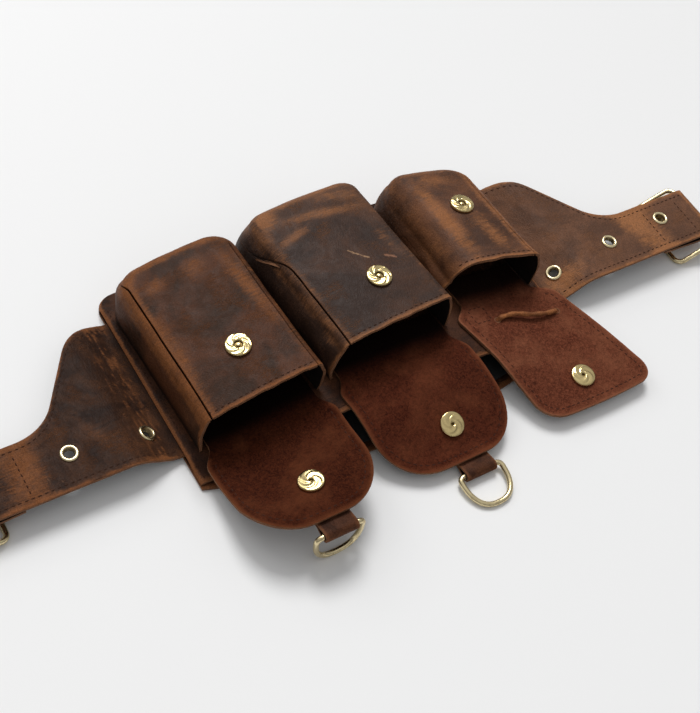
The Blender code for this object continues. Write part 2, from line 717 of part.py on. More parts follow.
def end_path():
    """A rectangle with round corners in its own plane, one long bar on the Y axis, the rest towards -X."""
    half = (STRAP_WIDTH + 2.0 * (END_SPARE + END_WIRE)) / 2.0
    centres = ((-END_CORNER, half - END_CORNER, 0.0), (-END_WIDTH + END_CORNER, half - END_CORNER, 90.0),
               (-END_WIDTH + END_CORNER, -half + END_CORNER, 180.0), (-END_CORNER, -half + END_CORNER, 270.0))
    path = []
    for x, y, first in centres:
        for k in range(4):
            turn = math.radians(first + 30.0 * k)
            path.append((x + END_CORNER * math.cos(turn), y + END_CORNER * math.sin(turn)))
    return path


def add_end_ring(label, side):
    """The brass ring in a wing's fold, swung back under the wing with its far bar on the floor."""
    ring = wire_ring(f"end_ring_{label}", end_path(), END_WIRE, 8, "brass")
    tip = math.asin((FOLD_Z - END_WIRE - REST_GAP) / END_WIDTH)
    half_turn = 0.0 if side > 0 else math.pi
    ring.matrix_world = (Matrix.Translation((side * FOLD_X, STRAP_MIDDLE, FOLD_Z))
                         @ Matrix.Rotation(half_turn, 4, "Z") @ Matrix.Rotation(-tip, 4, "Y"))


# Lace

def add_lace(flap_item):
    """A leather lace that comes up through one hole of flap 3 and goes down through the other."""
    index = 2
    y = POUCHES[index]["mouth"] - LACE_BACK
    middle = flap_middle(index, y) + LACE_SIDE
    ends = (middle - LACE_SPAN / 2.0, middle + LACE_SPAN / 2.0)

    def lace_y(px):
        return y - LACE_FALL * (px - middle) / LACE_SPAN

    cutters = bmesh.new()
    for x in ends:
        bmesh.ops.create_cone(cutters, cap_ends=True, segments=12, radius1=LACE_RADIUS + GAP,
                              radius2=LACE_RADIUS + GAP, depth=CUT_DEPTH,
                              matrix=Matrix.Translation((x, lace_y(x), flap_under(index, x, lace_y(x)))))
    cut_with(flap_item, cutters, "cutter_lace")
    route = []
    for x, sign in ((ends[0], 1.0), (ends[1], -1.0)):
        under = flap_under(index, x, lace_y(x))
        above = under + LEATHER + GAP + LACE_RADIUS
        leg = [(x, under + GAP / 2.0), (x, under + LEATHER / 2.0), (x, above - LACE_RADIUS / 2.0),
               (x + sign * LACE_RADIUS, above + LACE_RADIUS)]
        route += leg if sign > 0 else list(reversed(leg))
        if sign > 0:
            for share in steps(0.0, 1.0, 8)[1:-1]:
                px = ends[0] + (ends[1] - ends[0]) * share
                rise = LACE_SLACK * math.sin(math.pi * share)
                route.append((px, flap_under(index, px, lace_y(px)) + LEATHER + GAP + LACE_RADIUS + rise))
    curve = bpy.data.curves.new("flap_lace", "CURVE")
    curve.dimensions = "3D"
    curve.bevel_depth = LACE_RADIUS
    curve.bevel_resolution = 2
    curve.use_fill_caps = True
    line = curve.splines.new("POLY")
    line.points.add(len(route) - 1)
    for point, (x, z) in zip(line.points, route):
        bend = LACE_WAVE * math.sin(2.0 * math.pi * (x - ends[0]) / LACE_SPAN)
        point.co = (x, lace_y(x) + bend, z, 1.0)
    item = bpy.data.objects.new("flap_lace", curve)
    bpy.context.collection.objects.link(item)
    curve.materials.append(new_material("flap_lace", "leather"))


def build():
    for item in list(bpy.data.objects):
        bpy.data.objects.remove(item)
    make_back_panel()
    make_pocket_lining()
    make_pocket_front()
    for side, label in ((-1, "left"), (1, "right")):
        wing = make_wing(f"wing_{label}", side)
        add_eyelets(wing, side, label)
        add_end_ring(label, side)
    for index in range(len(POUCHES)):
        make_gusset(index)
        make_pouch_panel(index)
        flap_item = make_flap(index)
        add_snaps(index)
        if index < len(TAB_SIDES):
            add_ring_tab(index)
    add_lace(flap_item)
    bpy.context.view_layer.update()


build()
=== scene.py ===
import json
import math

import bpy
from mathutils import Matrix, Vector, noise
from mathutils.bvhtree import BVHTree


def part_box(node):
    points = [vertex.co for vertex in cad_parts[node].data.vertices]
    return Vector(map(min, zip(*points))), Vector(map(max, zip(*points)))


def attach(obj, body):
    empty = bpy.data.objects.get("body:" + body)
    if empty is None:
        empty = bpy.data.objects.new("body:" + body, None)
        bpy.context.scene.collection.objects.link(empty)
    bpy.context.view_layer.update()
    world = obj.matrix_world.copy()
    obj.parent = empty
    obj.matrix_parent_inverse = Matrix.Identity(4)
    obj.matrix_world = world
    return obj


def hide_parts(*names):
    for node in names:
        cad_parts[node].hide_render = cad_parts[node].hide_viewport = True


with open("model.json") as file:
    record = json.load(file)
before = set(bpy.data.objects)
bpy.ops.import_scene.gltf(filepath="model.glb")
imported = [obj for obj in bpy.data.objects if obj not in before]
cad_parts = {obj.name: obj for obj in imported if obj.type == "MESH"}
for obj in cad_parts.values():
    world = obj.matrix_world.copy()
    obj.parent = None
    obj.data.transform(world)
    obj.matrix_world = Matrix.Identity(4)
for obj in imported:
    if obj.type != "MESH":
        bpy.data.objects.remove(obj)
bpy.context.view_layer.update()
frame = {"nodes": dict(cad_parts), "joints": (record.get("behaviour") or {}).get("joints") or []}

# Places and sizes below are in millimetres, in the frame's axes; meshes are written in metres
mm = 0.001
print("frame loaded:", len(frame["nodes"]), "nodes")


# Small helpers

def smooth(low, high, value):
    share = min(max((value - low) / (high - low), 0.0), 1.0)
    return share * share * (3.0 - 2.0 * share)


def spread(low, high, count):
    return [low + (high - low) * i / count for i in range(count + 1)]


def wobble(x, y, size, seed=0.0):
    return noise.noise(Vector((x / size, y / size, seed)))  # between about -1 and 1


def fade(distance, size):
    return math.exp(-(distance / size) ** 2)  # 1 at no distance, near 0 past twice the size


def onCircle(radius, turn):
    return radius * math.cos(turn), radius * math.sin(turn)


def boxOf(node):
    low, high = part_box(node)
    return [value / mm for value in low], [value / mm for value in high]


def middleOf(node):
    low, high = boxOf(node)
    return (low[0] + high[0]) / 2.0, (low[1] + high[1]) / 2.0


def addToScene(name, data):
    item = bpy.data.objects.new(name, data)
    bpy.context.scene.collection.objects.link(item)
    return item


def jointPlace(name):
    joint = next(item for item in frame["joints"] if item["name"] == name)
    return Vector(joint["pos_m"]) / mm


# Camera and light

view = {
    "azimuth": -44.0,
    "elevation": 53.0,
    "roll": 16.0,
    "distance": 800.0,
    "aside": 4.46,
    "below": 21.16,
    "centreX": 2.0,
    "lens": 67.96,
}

studio = {
    "skyDip": -0.1,
    "skyLow": 0.10,
    "skyHigh": 0.60,
    "sunFrom": (0.30, 0.80, 1.15),
    "sunStrength": 1.9,
    "sunAngle": 24.0,
    "softboxWatts": 1.5,
    "softboxSize": 0.55,
    "softboxPlace": (-0.30, 0.70, 0.65),
    "floorTone": 0.86,
    "floorSize": 60.0,
    "floorDrop": 0.05,
    "floorGrain": 3.0,
}


def addCamera():
    azimuth, elevation, roll = (math.radians(view[key]) for key in ("azimuth", "elevation", "roll"))
    back = Vector((math.sin(azimuth) * math.cos(elevation), -math.cos(azimuth) * math.cos(elevation),
                   math.sin(elevation)))
    level = Vector((math.cos(azimuth), math.sin(azimuth), 0.0))
    tall = back.cross(level)
    right = math.cos(roll) * level + math.sin(roll) * tall
    up = -math.sin(roll) * level + math.cos(roll) * tall
    data = bpy.data.cameras.new("camera")
    data.lens = view["lens"]
    item = addToScene("camera", data)
    place = back * view["distance"] + right * view["aside"] - up * view["below"]
    place.x += view["centreX"]
    item.matrix_world = Matrix.Translation(place * mm) @ Matrix((right, up, back)).transposed().to_4x4()
    bpy.context.scene.camera = item


def addStudio():
    world = bpy.data.worlds.new("studioSky")
    world.use_nodes = True
    tree = world.node_tree
    coords = tree.nodes.new("ShaderNodeTexCoord")
    split = tree.nodes.new("ShaderNodeSeparateXYZ")
    tone = tree.nodes.new("ShaderNodeMapRange")
    tone.inputs["From Min"].default_value = studio["skyDip"]
    tone.inputs["To Min"].default_value = studio["skyLow"]
    tone.inputs["To Max"].default_value = studio["skyHigh"]
    tree.links.new(coords.outputs["Generated"], split.inputs[0])
    tree.links.new(split.outputs["Z"], tone.inputs["Value"])
    tree.links.new(tone.outputs[0], tree.nodes["Background"].inputs["Color"])
    bpy.context.scene.world = world

    sun = bpy.data.lights.new("sun", "SUN")
    sun.energy = studio["sunStrength"]
    sun.angle = math.radians(studio["sunAngle"])
    item = addToScene("sun", sun)
    item.rotation_euler = Vector(studio["sunFrom"]).to_track_quat("Z", "Y").to_euler()

    box = bpy.data.lights.new("softbox", "AREA")
    box.energy = studio["softboxWatts"]
    box.size = studio["softboxSize"]
    item = addToScene("softbox", box)
    item.location = studio["softboxPlace"]
    item.rotation_euler = Vector(studio["softboxPlace"]).to_track_quat("Z", "Y").to_euler()

    half = studio["floorSize"] / 2.0
    mesh = bpy.data.meshes.new("floor")
    level = -studio["floorDrop"] * mm
    corners = [(-half, -half, level), (half, -half, level), (half, half, level), (-half, half, level)]
    mesh.from_pydata(corners, [], [(0, 1, 2, 3)])
    floor = addToScene("floor", mesh)
    material = bpy.data.materials.new("floorPaper")
    material.use_nodes = True
    tree = material.node_tree
    shader = tree.nodes["Principled BSDF"]
    grain = put(tree, "ShaderNodeTexNoise", {"Scale": studio["floorGrain"], "Detail": 2.0})
    tone = studio["floorTone"]
    shade = ramp(tree, grain.outputs["Fac"], [(0.3, (tone, tone, tone)), (0.7, (tone * 0.995, tone, tone))])
    dress(tree, shader, shade, {"Roughness": 0.9, "Specular IOR Level": 0.1})
    mesh.materials.append(material)
    bpy.context.scene.view_settings.view_transform = "Standard"


# Node helpers

def put(tree, kind, values=None, links=None, **props):
    item = tree.nodes.new(kind)
    for key, value in props.items():
        setattr(item, key, value)
    for key, value in (values or {}).items():
        item.inputs[key].default_value = value
    for key, source in (links or {}).items():
        tree.links.new(source, item.inputs[key])
    return item


def feed(tree, item, slot, value):
    if isinstance(value, bpy.types.NodeSocket):
        tree.links.new(value, item.inputs[slot])
    else:
        item.inputs[slot].default_value = value


def maths(tree, operation, first, second=0.0, clamp=False):
    item = put(tree, "ShaderNodeMath", operation=operation, use_clamp=clamp)
    feed(tree, item, 0, first)
    feed(tree, item, 1, second)
    return item.outputs[0]


def plus(tree, first, second, clamp=False):
    return maths(tree, "ADD", first, second, clamp)


def minus(tree, first, second):
    return maths(tree, "SUBTRACT", first, second)


def times(tree, first, second):
    return maths(tree, "MULTIPLY", first, second)


def vectors(tree, operation, first, second):
    item = put(tree, "ShaderNodeVectorMath", operation=operation)
    feed(tree, item, 0, first)
    feed(tree, item, "Scale" if operation == "SCALE" else 1, second)
    return item.outputs["Value" if operation in ("DOT_PRODUCT", "DISTANCE") else 0]


def blendColours(tree, share, first, second, way="MIX"):
    item = put(tree, "ShaderNodeMix", data_type="RGBA", blend_type=way, clamp_factor=True)
    feed(tree, item, 0, share)
    feed(tree, item, 6, first)
    feed(tree, item, 7, second)
    return item.outputs[2]


def remap(tree, source, low, high, toLow=0.0, toHigh=1.0):
    values = {"From Min": low, "From Max": high, "To Min": toLow, "To Max": toHigh}
    item = put(tree, "ShaderNodeMapRange", values, {"Value": source}, interpolation_type="SMOOTHSTEP")
    return item.outputs[0]


def ramp(tree, source, stops):
    item = put(tree, "ShaderNodeValToRGB", links={"Fac": source})
    for mark, (place, colour) in zip(item.color_ramp.elements, stops):
        mark.position = place
        mark.color = (*colour, 1.0)
    return item.outputs["Color"]


def noiseOf(tree, vector, scale, detail=4.0, rough=0.55, warp=0.0):
    item = put(tree, "ShaderNodeTexNoise", {"Detail": detail, "Roughness": rough, "Distortion": warp},
               {"Vector": vector})
    feed(tree, item, "Scale", scale)
    return item.outputs["Fac"]


vectorInputs = ("Vector", "Start", "End")


def newGroup(name, inputs, outputs):
    # A number is a float, places are named in vectorInputs, and every other input is a colour
    tree = bpy.data.node_groups.new(name, "ShaderNodeTree")
    for label, value in inputs.items():
        kind = "Color"
        if isinstance(value, float):
            kind = "Float"
        elif label in vectorInputs:
            kind = "Vector"
        socket = tree.interface.new_socket(name=label, in_out="INPUT", socket_type="NodeSocket" + kind)
        if value is not None:
            socket.default_value = (*value, 1.0) if kind == "Color" else value
    for label in outputs:
        kind = "Color" if label == "Color" else "Float"
        tree.interface.new_socket(name=label, in_out="OUTPUT", socket_type="NodeSocket" + kind)
    return tree, tree.nodes.new("NodeGroupInput").outputs, tree.nodes.new("NodeGroupOutput").inputs


# Shared finishes as node groups

def makePullUpGroup():
    # Oiled leather: clouds of tone, brushed tan where it is worn, hair-fine scuffs, pebbled grain, and
    # painted shade in wrinkle valleys and wherever the shade attribute is set
    tree, given, result = newGroup("pullUpLeather", {
        "Vector": None, "Body": (0.06, 0.03, 0.02), "Dark": (0.03, 0.02, 0.01), "Tan": (0.2, 0.09, 0.04),
        "Wear": 0.0, "Shade": 0.0, "Cloud Scale": 26.0, "Grain Scale": 1100.0, "Scuffs": 0.5, "Wrinkles": 0.3,
    }, ("Color", "Roughness", "Height"))
    where = given["Vector"]
    cloud = noiseOf(tree, where, given["Cloud Scale"], 6.0, 0.62, 0.7)
    body = blendColours(tree, remap(tree, cloud, 0.38, 0.62), given["Dark"], given["Body"])
    mottle = noiseOf(tree, where, times(tree, given["Cloud Scale"], 6.0), 9.0, 0.72, 1.1)

    # Two sets of long thin fibres, brushed in different directions
    fibres = []
    for turn, stretch, size in ((18.0, 7.0, 150.0), (-52.0, 9.0, 120.0)):
        values = {"Rotation": (0.0, 0.0, math.radians(turn)), "Scale": (1.0, stretch, 1.0)}
        laid = put(tree, "ShaderNodeMapping", values, {"Vector": where})
        fibres.append(noiseOf(tree, laid.outputs[0], size, 6.0, 0.7, 0.5))
    brushed = times(tree, plus(tree, fibres[0], fibres[1]), 0.5)
    worn = plus(tree, given["Wear"], times(tree, brushed, 1.7))
    worn = plus(tree, worn, times(tree, mottle, 0.9))
    rubbed = remap(tree, worn, 1.55, 2.15)
    body = blendColours(tree, rubbed, body, given["Tan"])
    warm = remap(tree, plus(tree, given["Wear"], cloud), 0.60, 1.30)
    body = blendColours(tree, times(tree, warm, 0.42), body, given["Tan"])

    hairs = []
    for fibre in fibres:
        ridge = maths(tree, "ABSOLUTE", minus(tree, fibre, 0.5))
        hairs.append(remap(tree, ridge, 0.0, 0.013, 1.0, 0.0))
    hair = maths(tree, "MAXIMUM", hairs[0], hairs[1])
    patches = remap(tree, noiseOf(tree, where, 55.0, 3.0, 0.6), 0.50, 0.68)
    hair = times(tree, times(tree, hair, patches), given["Scuffs"])
    body = blendColours(tree, times(tree, hair, 0.8), body, given["Tan"])

    folds = put(tree, "ShaderNodeMapping", {"Scale": (1.0, 0.42, 1.0)}, {"Vector": where})
    crumple = noiseOf(tree, folds.outputs[0], 120.0, 4.0, 0.55, 1.6)
    valley = remap(tree, maths(tree, "ABSOLUTE", minus(tree, crumple, 0.5)), 0.0, 0.07, 1.0, 0.0)
    valley = times(tree, valley, given["Wrinkles"])

    pebble = put(tree, "ShaderNodeTexVoronoi", links={"Vector": where, "Scale": given["Grain Scale"]})
    pores = noiseOf(tree, where, times(tree, given["Grain Scale"], 1.4), 3.0, 0.7)
    speck = remap(tree, pores, 0.28, 0.72, 0.70, 1.30)
    # Wrinkle valleys darken the colour here: painted shade in the creases (they also dent the bump below)
    speck = times(tree, speck, remap(tree, valley, 0.0, 1.0, 1.0, 0.62))
    # The shade attribute darkens the colour here: painted shade
    dim = times(tree, speck, remap(tree, given["Shade"], 0.0, 1.0, 1.0, 0.10))
    dimming = put(tree, "ShaderNodeCombineColor", links={0: dim, 1: dim, 2: dim})
    body = blendColours(tree, 1.0, body, dimming.outputs[0], "MULTIPLY")

    height = times(tree, pebble.outputs["Distance"], 0.30)
    height = plus(tree, height, times(tree, pores, 0.20))
    height = plus(tree, height, times(tree, mottle, 0.50))
    height = minus(tree, height, times(tree, hair, 0.25))
    height = minus(tree, height, times(tree, valley, 0.9))
    rough = remap(tree, mottle, 0.3, 0.75, 0.46, 0.66)
    rough = plus(tree, rough, times(tree, given["Shade"], 0.3))
    tree.links.new(body, result["Color"])
    tree.links.new(plus(tree, rough, times(tree, rubbed, 0.08)), result["Roughness"])
    tree.links.new(height, result["Height"])
    return tree


def makeScarGroup():
    # A scratch along the line from Start to End, with ragged sides
    tree, given, result = newGroup("scarLine", {
        "Vector": None, "Start": (0.0, 0.0, 0.0), "End": (0.01, 0.0, 0.0), "Width": 0.0006}, ("Mask",))
    ragged = put(tree, "ShaderNodeTexNoise", {"Scale": 420.0, "Detail": 3.0}, {"Vector": given["Vector"]})
    centred = vectors(tree, "SUBTRACT", ragged.outputs["Color"], (0.5, 0.5, 0.5))
    here = vectors(tree, "ADD", given["Vector"], vectors(tree, "SCALE", centred, 0.0022))
    along = vectors(tree, "SUBTRACT", given["End"], given["Start"])
    fromStart = vectors(tree, "SUBTRACT", here, given["Start"])
    reachAlong = vectors(tree, "DOT_PRODUCT", fromStart, along)
    share = maths(tree, "DIVIDE", reachAlong, vectors(tree, "DOT_PRODUCT", along, along), clamp=True)
    apart = vectors(tree, "DISTANCE", fromStart, vectors(tree, "SCALE", along, share))
    closeness = maths(tree, "DIVIDE", apart, given["Width"])
    tree.links.new(remap(tree, closeness, 0.25, 1.0, 1.0, 0.0), result["Mask"])
    return tree


def makeSuedeGroup():
    # The napped flesh side: short fibres and broad brushed patches
    tree, given, result = newGroup("suedeNap", {
        "Vector": None, "Body": (0.08, 0.02, 0.01), "Dark": (0.04, 0.01, 0.006), "Light": (0.14, 0.05, 0.03),
        "Wear": 0.0}, ("Color", "Height"))
    where = given["Vector"]
    fibre = noiseOf(tree, where, 620.0, 5.0, 0.8, 0.9)
    broad = noiseOf(tree, where, 42.0, 3.0, 0.6)
    body = blendColours(tree, remap(tree, fibre, 0.34, 0.62), given["Dark"], given["Body"])
    body = blendColours(tree, remap(tree, fibre, 0.6, 0.8), body, given["Light"])
    body = blendColours(tree, times(tree, remap(tree, broad, 0.42, 0.7), 0.35), body, given["Light"])
    body = blendColours(tree, times(tree, given["Wear"], 0.75), body, given["Light"])
    tree.links.new(body, result["Color"])
    tree.links.new(fibre, result["Height"])
    return tree


def makeTarnishGroup():
    # Brass with brown tarnish spots, painted shade in its hollows from the Shade input, and faint turning
    # marks
    tree, given, result = newGroup("brassTarnish", {
        "Vector": None, "Bright": (0.8, 0.62, 0.3), "Tarnish And Shade": (0.2, 0.12, 0.04), "Shade": 0.0, "Amount": 0.4,
    }, ("Color", "Roughness", "Height"))
    where = given["Vector"]
    spots = noiseOf(tree, where, 260.0, 5.0, 0.6, 0.5)
    tarnishAndShade = times(tree, remap(tree, spots, 0.45, 0.72), given["Amount"])
    # Painted shade in the hollows is added to the tarnish here
    tarnishAndShade = plus(tree, tarnishAndShade, given["Shade"], clamp=True)
    tree.links.new(blendColours(tree, tarnishAndShade, given["Bright"], given["Tarnish And Shade"]), result["Color"])
    tree.links.new(times(tree, tarnishAndShade, 0.28), result["Roughness"])
    tree.links.new(noiseOf(tree, where, 2200.0, 2.0), result["Height"])
    return tree


# Materials

def newMaterial(name):
    material = bpy.data.materials.new(name)
    material.use_nodes = True
    tree = material.node_tree
    where = put(tree, "ShaderNodeTexCoord").outputs["Object"]
    return material, tree, tree.nodes["Principled BSDF"], where


def attribute(tree, name):
    return put(tree, "ShaderNodeAttribute", attribute_name=name).outputs["Fac"]


def placeGroup(tree, key, where, values):
    item = put(tree, "ShaderNodeGroup", node_tree=groups[key])
    tree.links.new(where, item.inputs["Vector"])
    for label, value in values.items():
        isColour = item.inputs[label].type == "RGBA"
        item.inputs[label].default_value = (*value, 1.0) if isColour else value
    return item


def dress(tree, shader, colour, values, height=None, strength=0.5, depth=0.3):
    # Gives a shader its colour, its even values, and a bump whose depth is in millimetres
    tree.links.new(colour, shader.inputs["Base Color"])
    for label, value in values.items():
        feed(tree, shader, label, value)
    if height:
        bump = put(tree, "ShaderNodeBump", {"Strength": strength, "Distance": depth * mm}, {"Height": height})
        tree.links.new(bump.outputs["Normal"], shader.inputs["Normal"])


def leatherMaterial(name, finish, scars=()):
    material, tree, shader, where = newMaterial(name)
    hide = placeGroup(tree, "pullUp", where, {
        "Body": finish["body"], "Dark": finish["dark"], "Tan": finish["tan"],
        "Cloud Scale": finish["clouds"], "Scuffs": finish["scuffs"], "Wrinkles": finish["wrinkles"]})
    tree.links.new(attribute(tree, "wear"), hide.inputs["Wear"])
    tree.links.new(attribute(tree, "shade"), hide.inputs["Shade"])
    colour = hide.outputs["Color"]
    height = hide.outputs["Height"]
    for start, end, width, depth, tone in scars:
        line = placeGroup(tree, "scar", where, {
            "Start": Vector(start) * mm, "End": Vector(end) * mm, "Width": width * mm})
        mask = times(tree, line.outputs["Mask"], depth)
        colour = blendColours(tree, mask, colour, (*tone, 1.0))
        height = minus(tree, height, times(tree, mask, 0.5))
    values = {"Roughness": hide.outputs["Roughness"], "Specular IOR Level": finish["gloss"]}
    dress(tree, shader, colour, values, height, 0.55, 0.6)
    return material


def suedeMaterial(name, finish):
    material, tree, shader, where = newMaterial(name)
    values = {"Body": finish["body"], "Dark": finish["dark"], "Light": finish["light"]}
    nap = placeGroup(tree, "suede", where, values)
    tree.links.new(attribute(tree, "wear"), nap.inputs["Wear"])
    # The part of the flap tucked into the pouch is darkened nearly to black: painted shade inside the mouth
    hidden = tuple(value * 0.12 for value in finish["dark"])
    colour = blendColours(tree, attribute(tree, "shade"), nap.outputs["Color"], (*hidden, 1.0))
    values = {"Roughness": 0.95, "Specular IOR Level": 0.05, "Sheen Weight": 0.04, "Sheen Roughness": 0.5,
              "Sheen Tint": (0.8, 0.45, 0.3, 1.0)}
    dress(tree, shader, colour, values, nap.outputs["Height"], 0.9, 0.6)
    return material


def cutEdgeMaterial(name, light, dark):
    material, tree, shader, where = newMaterial(name)
    fibres = noiseOf(tree, where, 900.0, 5.0, 0.7, 0.5)
    patches = noiseOf(tree, where, 90.0, 3.0)
    colour = ramp(tree, fibres, [(0.3, dark), (0.62, light)])
    colour = blendColours(tree, times(tree, remap(tree, patches, 0.4, 0.7), 0.5), colour, (*dark, 1.0))
    dress(tree, shader, colour, {"Roughness": 0.8, "Specular IOR Level": 0.25}, fibres, 0.6)
    return material


def insideMaterial(name, tone):
    material, tree, shader, where = newMaterial(name)
    fibres = noiseOf(tree, where, 600.0, 5.0, 0.7)
    colour = ramp(tree, fibres, [(0.35, tuple(value * 0.5 for value in tone)), (0.7, tone)])
    dress(tree, shader, colour, {"Roughness": 0.9, "Specular IOR Level": 0.15}, fibres)
    return material


def clothMaterial():
    material, tree, shader, where = newMaterial("liningCloth")
    threads = []
    for turn in (0.0, math.pi / 2.0):
        turned = put(tree, "ShaderNodeMapping", {"Rotation": (0.0, 0.0, turn)}, {"Vector": where}).outputs[0]
        wave = put(tree, "ShaderNodeTexWave", {"Scale": 480.0, "Distortion": 0.4}, {"Vector": turned})
        threads.append(wave.outputs["Fac"])
    weave = maths(tree, "MAXIMUM", threads[0], threads[1])
    colour = ramp(tree, weave, [(0.2, (0.004, 0.004, 0.004)), (0.9, (0.016, 0.016, 0.017))])
    dress(tree, shader, colour, {"Roughness": 0.85, "Sheen Weight": 0.1}, weave)
    return material


def threadMaterial(name, tone):
    material, tree, shader, where = newMaterial(name)
    wave = put(tree, "ShaderNodeTexWave", {"Scale": 900.0, "Distortion": 1.0}, {"Vector": where})
    twist = wave.outputs["Fac"]
    colour = ramp(tree, twist, [(0.2, tone), (0.9, tuple(value * 1.8 for value in tone))])
    dress(tree, shader, colour, {"Roughness": 0.8, "Specular IOR Level": 0.08}, twist, 0.4, 0.2)
    return material


def brassMaterial(name, finish):
    material, tree, shader, where = newMaterial(name)
    values = {"Bright": finish["bright"], "Tarnish And Shade": finish["tarnishAndShade"], "Amount": finish["amount"]}
    tarnishAndShade = placeGroup(tree, "tarnish", where, values)
    tree.links.new(attribute(tree, "shade"), tarnishAndShade.inputs["Shade"])
    values = {"Roughness": plus(tree, tarnishAndShade.outputs["Roughness"], finish["rough"]), "Metallic": 1.0}
    dress(tree, shader, tarnishAndShade.outputs["Color"], values, tarnishAndShade.outputs["Height"], 0.12, 0.1)
    return material


# Meshes

trees = {}  # each sheet's faces, for laying stitches and fittings on it
reach = 1000.0  # further than anything on the bag
sharpAngle = 38.0
skin = {"rimAngle": 62.0, "rimSteps": 2, "facingStep": 7}


def addObject(name, mesh, materials, body, replaces=()):
    item = addToScene(name, mesh)
    for material in materials:
        mesh.materials.append(material)
    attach(item, body)
    if replaces:
        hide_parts(*replaces)
    return item


def settle(item):
    # Applies the modifiers and shades the result smooth between sharp edges
    graph = bpy.context.evaluated_depsgraph_get()
    mesh = bpy.data.meshes.new_from_object(item.evaluated_get(graph))
    item.modifiers.clear()
    item.data = mesh
    mesh.shade_smooth()
    mesh.set_sharp_from_angle(angle=math.radians(sharpAngle))
    return item


def addSheet(name, rows, materials, replaces, slotName="outer_leather", **looks):
    flat, faces = gridOf(rows)
    return addSkin(name, flat, faces, materials, replaces, slotName, **looks)


def gridOf(rows):
    width = len(rows[0])
    faces = []
    for i in range(len(rows) - 1):
        for j in range(width - 1):
            a = i * width + j
            faces.append((a, a + 1, a + width + 1, a + width))
    return [entry for row in rows for entry in row], faces


def addSkin(name, flat, faces, materials, replaces, slotName, away=None, thick=2.0, offset=-1.0,
            edgeRound=0.35):
    # Each entry is (place, wear, shade); the faces point away from the given place
    points = [entry[0] for entry in flat]
    away = away or Vector((0.0, 0.0, -reach))
    facing = 0.0
    for face in faces[::skin["facingStep"]]:
        a, b, c = (points[k] for k in face[:3])
        facing += (b - a).cross(c - b).dot(a - away)
    if facing < 0.0:
        faces = [tuple(reversed(face)) for face in faces]
    trees[name] = BVHTree.FromPolygons(points, faces)
    mesh = bpy.data.meshes.new(name)
    mesh.from_pydata([point * mm for point in points], [], faces)
    for label, index in (("wear", 1), ("shade", 2)):
        layer = mesh.attributes.new(label, "FLOAT", "POINT")
        layer.data.foreach_set("value", [min(max(entry[index], 0.0), 1.0) for entry in flat])
    item = addObject(name, mesh, materials, "bag", replaces)
    layer = item.modifiers.new("thickness", "SOLIDIFY")
    layer.thickness = thick * mm
    layer.offset = offset
    layer.use_even_offset = True
    layer.material_offset = 1
    layer.material_offset_rim = 2
    edge = item.modifiers.new("softEdge", "BEVEL")
    edge.width = edgeRound * mm
    edge.segments = skin["rimSteps"]
    edge.limit_method = "ANGLE"
    edge.angle_limit = math.radians(skin["rimAngle"])
    return settle(item)


def bandFaces(count, sides, wrap=False, shift=0):
    # Quads between neighbouring rings of points; a wrapped band's last ring meets the first, turned by shift
    faces = []
    for i in range(count if wrap else count - 1):
        skip = shift if i == count - 1 else 0
        after = (i + 1) % count * sides
        for k in range(sides):
            a = i * sides + (k + skip) % sides
            b = i * sides + (k + 1 + skip) % sides
            faces.append((a, b, after + (k + 1) % sides, after + k))
    return faces


def endFaces(count, sides):
    return [tuple(reversed(range(sides))), tuple((count - 1) * sides + k for k in range(sides))]


def flipped(faces):
    return [(face[0], *face[:0:-1]) for face in faces]


def fullTurn(sides):
    return [2.0 * math.pi * k / sides for k in range(sides)]


def addTube(name, path, radius, sides, materials, body, replaces, closed=True):
    # A round wire along a path of points; radius may be a function of the share along it
    count = len(path)
    points = []
    across = None
    for i, centre in enumerate(path):
        before = path[i - 1] if closed or i > 0 else path[0]
        after = path[(i + 1) % count] if closed or i < count - 1 else path[-1]
        along = (after - before).normalized()
        if across is None:
            across = along.orthogonal().normalized()
        across = (across - along * across.dot(along)).normalized()
        other = along.cross(across)
        size = radius(i / (count - 1)) if callable(radius) else radius
        circle = [onCircle(size, turn) for turn in fullTurn(sides)]
        points += [centre + across * out + other * up for out, up in circle]
    if closed:
        last = points[-sides:]
        shift = min(range(sides), key=lambda k: (last[k] - points[0]).length)
        faces = bandFaces(count, sides, True, shift)
    else:
        faces = bandFaces(count, sides) + endFaces(count, sides)
    return addSolid(name, points, faces, [0.0] * len(points), materials, body, replaces)


def addSolid(name, points, faces, tones, materials, body, replaces, angle=sharpAngle):
    mesh = bpy.data.meshes.new(name)
    mesh.from_pydata([point * mm for point in points], [], faces)
    layer = mesh.attributes.new("shade", "FLOAT", "POINT")
    layer.data.foreach_set("value", tones)
    mesh.validate()
    mesh.shade_smooth()
    mesh.set_sharp_from_angle(angle=math.radians(angle))
    return addObject(name, mesh, materials, body, replaces)


def onSheet(name, x, y):
    place, normal, index, distance = trees[name].ray_cast(Vector((x, y, reach)), Vector((0.0, 0.0, -1.0)))
    return (place, normal) if place else None


# Stitching

stitch = {"pitch": 3.6, "length": 2.5, "width": 0.36, "height": 0.26, "lift": 0.02, "sink": 0.28, "sides": 6,
          "sharp": 60.0, "sections": (-1.0, -0.82, -0.3, 0.3, 0.82, 1.0),
          "fullness": (0.25, 0.75, 1.0, 1.0, 0.75, 0.25)}


def stitchRow(sheetName, line, lift=0.0):
    # Places of the stitches along a flat polyline, laid on a sheet: centre, direction, normal
    made = []
    travelled, due = 0.0, stitch["pitch"] / 2.0
    for (x0, y0), (x1, y1) in zip(line, line[1:]):
        step = math.hypot(x1 - x0, y1 - y0)
        while step > 0.0 and travelled + step >= due:
            share = (due - travelled) / step
            hit = onSheet(sheetName, x0 + (x1 - x0) * share, y0 + (y1 - y0) * share)
            if hit:
                place, normal = hit
                along = Vector((x1 - x0, y1 - y0, 0.0))
                along = (along - normal * along.dot(normal)).normalized()
                made.append((place + normal * (lift + stitch["lift"]), along, normal))
            due += stitch["pitch"]
        travelled += step
    return made


